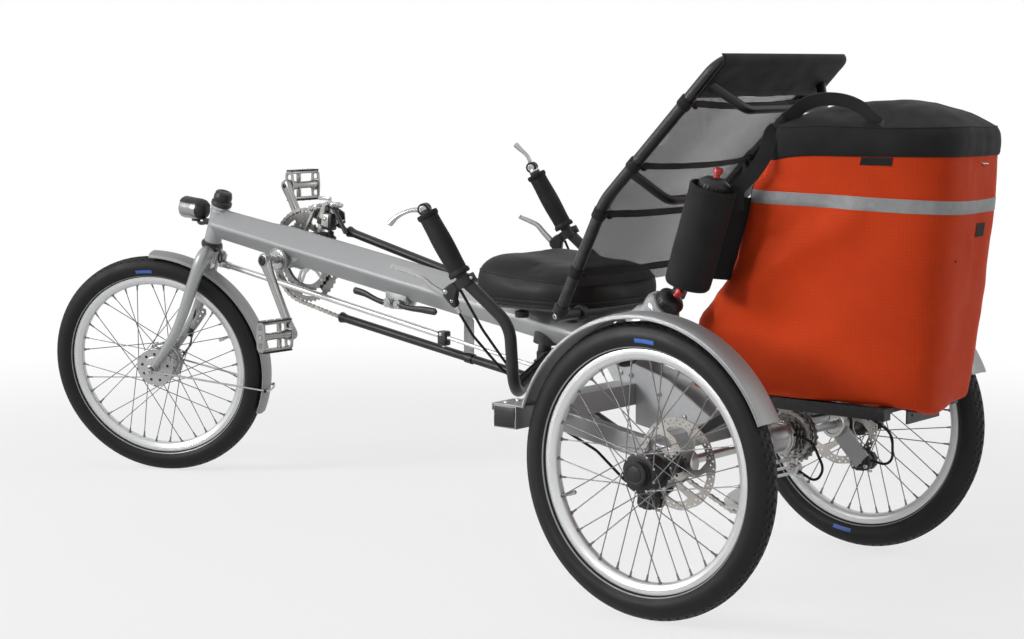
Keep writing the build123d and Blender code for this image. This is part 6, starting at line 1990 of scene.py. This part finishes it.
def makeTrim():
    bm = bmesh.new()
    for x in (36.5, -36.5):
        addTo(bm, roundLoop([Vector((x, *(crankMid.yz + Vector((22 * cos(a), 22 * sin(a)))))) for a in turns(48)],
                1.2), tint=2)
    for side in (1, -1):
        seam = [Vector((side * (layout["carrierX"] + 13.5 * dx), -257, 300 + 19.5 * dz)) for dx, dz in aroundBox]
        addTo(bm, weld(seam, 2.2), tint=2)
        # beam ends
        addTo(bm, block((2.4, 46, 36), (side * layout["beamEnd"], layout["beamY"], 318), 1.0), tint=1)
        # axle carriers with their bearings
        for way in (1, -1):
            addTo(bm, lathe([(0, 9), (0, 17.5), (1.5, 18.5), (1.5, 24), (-1, 25.4), (-3, 25.4)], 48),
                    moved(side * layout["carrierX"] + way * 11.2, 0, layout["axleZ"]) @ flip(way), 3)
        addTo(bm, boltHead(6, 4), moved(side * layout["wheelX"], -301, 338.4) @ upX, 3)
        # bolts through the gussets
        for y, z in ((-296, 356), (-272, 352), (-206, 322), (-150, 286), (-206, 262)):
            addTo(bm, boltHead(5, 3.4), moved(side * 32.6, y, z) @ flip(side), 3)
    # seat frame's feet: clamp blocks with a silver bolt, and knobs under the pan
    for side in (1, -1):
        addTo(bm, lathe([(-7, 10.2), (-7, 14), (-6, 15), (6, 15), (7, 14), (7, 10.2)], 32, loop=True),
                moved(side * 120, *layout["seatFoot"]), 1)
        addTo(bm, boltHead(5.4, 4), moved(side * 194, *layout["seatFoot"]) @ flip(side), 3)
        addTo(bm, lathe([(0, 11.2), (0, 14.6), (14, 14.6), (15, 13.6), (15, 11.2)], 32),
                aim(Vector((side * 186, -322, 480)), Vector((side * 186, -314, 496))), 1)
        for y in (-500, -380):
            knob = lathe([(0, 0), (0, 5), (8, 5), (9, 12), (10, 13.5), (20, 13.5), (22, 12), (22, 0)], 10)
            addTo(bm, knob, moved(side * 78, y, 470) @ downX, 1)
    # bar pivot: nut under the clamp
    addTo(bm, lathe([(0, 0), (0, 10), (1, 11), (7, 11), (8, 9.6), (8, 0)], 6), moved(barPivot + Vector((0, 6, -49)))
            @ downX, 3)
    # flared collars on the chain tubes and the clip that holds the lower one
    for index, low, high in ((1, 0.02, 0.97), (2, 0.03, 0.62), (6, 0.03, 0.97), (5, 0.25, 0.97)):
        start, end = runs[index]
        for f, way in ((low, 1), (high, -1)):
            spot = start.lerp(end, f)
            ahead = (end - start).normalized() * way
            addTo(bm, lathe([(-1, 5.9), (-1.5, 11.6), (0, 12), (3, 11), (12, 9.4), (12, 8.8)], 24),
                    aim(spot, spot + ahead), 1)
    start, end = runs[6]
    spot = start + (end - start) * ((layout["tubeGuideY"] - start.y) / (end.y - start.y))
    addTo(bm, lathe([(-9, 9.1), (-9, 11), (9, 11), (9, 9.1)], 28, loop=True), aim(spot, spot + (end - start)), 1)
    addTo(bm, boltHead(4, 3), moved(-62, layout["tubeGuideY"], 372) @ flip(-1), 3)
    makePiece("frameTrim", bm, ["silverPaint", "blackPlastic", "weldMetal", "brightMetal"], "frame", smooth=36)


def makeSteeringRod():
    # stout tube, clamped over a thinner rod, with an eye at each end
    bm = bmesh.new()
    joint = rodFront.lerp(rodRear, 0.727)
    addTo(bm, pin(rodFront.lerp(rodRear, 0.008), joint, 6.4, 28, 0.5))
    addTo(bm, pin(joint, rodFront.lerp(rodRear, 0.992), 4.2, 24, 0.5))
    for spot, axis in ((rodFront, headAxis), (rodRear, tubeUp)):
        place = aim(spot, spot + axis)
        addTo(bm, lathe([(-6.6, 4), (-6.6, 9.2), (-5.8, 10), (5.8, 10), (6.6, 9.2), (6.6, 4)], 32, loop=True), place,
                0)
        addTo(bm, lathe([(-7.7, 0), (-7.7, 6.0), (-7.4, 6.4), (7.0, 6.4), (7.3, 6.0), (7.3, 0)], 24), place, 1)
    addTo(bm, lathe([(9, 4), (9, 7.6), (11, 8.4), (26, 8.2), (30, 6.6)], 24), aim(rodFront, rodRear), 0)
    addTo(bm, lathe([(9, 3), (9, 6), (11, 6.8), (24, 6.6), (28, 4.2)], 24), aim(rodRear, rodFront), 0)
    addTo(bm, block((20, 21, 30), (0, 0, 0), 3.0), moved(joint + Vector((0, -4, -3))), 1)
    addTo(bm, boltHead(4.4, 3.6), moved(joint + Vector((0, -4, -18))) @ downX, 0)
    addTo(bm, boltHead(4.0, 3.0), moved(joint + Vector((10, -4, 6))), 0)
    makePiece("steeringRod", bm, ["rimAlloy", "blackMetal"], "steering_rod", ["steering_rod"],
            smooth=36)


def makeBarTrim():
    # bolts of the handlebar's clamp, and its rings
    bm = bmesh.new()
    for dx in (-14, 14):
        for dy in (-11, 11):
            addTo(bm, boltHead(4.2, 3.4), moved(dx, -499 + dy, 343) @ downX, 0)
    for side in (1, -1):
        addTo(bm, lathe([(22.8, 11.2), (22.8, 14.5), (24.4, 15.4), (26.4, 15.4), (27.2, 14.4), (27.2, 11.2)], 32,
                loop=True), moved(0, -497, 360) @ flip(side), 1)
    makePiece("barTrim", bm, ["brightMetal", "blackMetal"], "handlebar", space=barSpace, smooth=36)


makeSleeve()
makeRearTube()
makeTrim()
makeSteeringRod()
makeBarTrim()


def makeBearing():
    bm = lathe([(-66, 8.4), (-66, 22), (-65, 24.5), (-60, 26.6), (-50, 27), (-48, 25.4), (-30, 24.6), (6, 24.6),
            (10, 27), (24, 27), (27, 25.4), (30, 22), (30, 8.4)], 64, loop=True)
    addTo(bm, block((74, 40, 28), (-18, -32, 0), 3), tint=0)
    for x in (-58, 18):
        addTo(bm, lathe([(-5, 26.6), (-5, 29), (-4, 30), (4, 30), (5, 29), (5, 26.6)], 48, loop=True), moved(x, 0, 0),
                1)
    for x in (-44, 6):
        for z in (-8, 8):
            addTo(bm, boltHead(4, 3), moved(x, -13, 14 if z > 0 else -14) @ (upX if z > 0 else downX), 1)
    makePiece("axleBearing", bm, ["satinAlloy", "brightMetal"], "frame", ["centre_bearing"],
            moved(0, 0, layout["axleZ"]), 34)


makeBearing()
print("trim made")
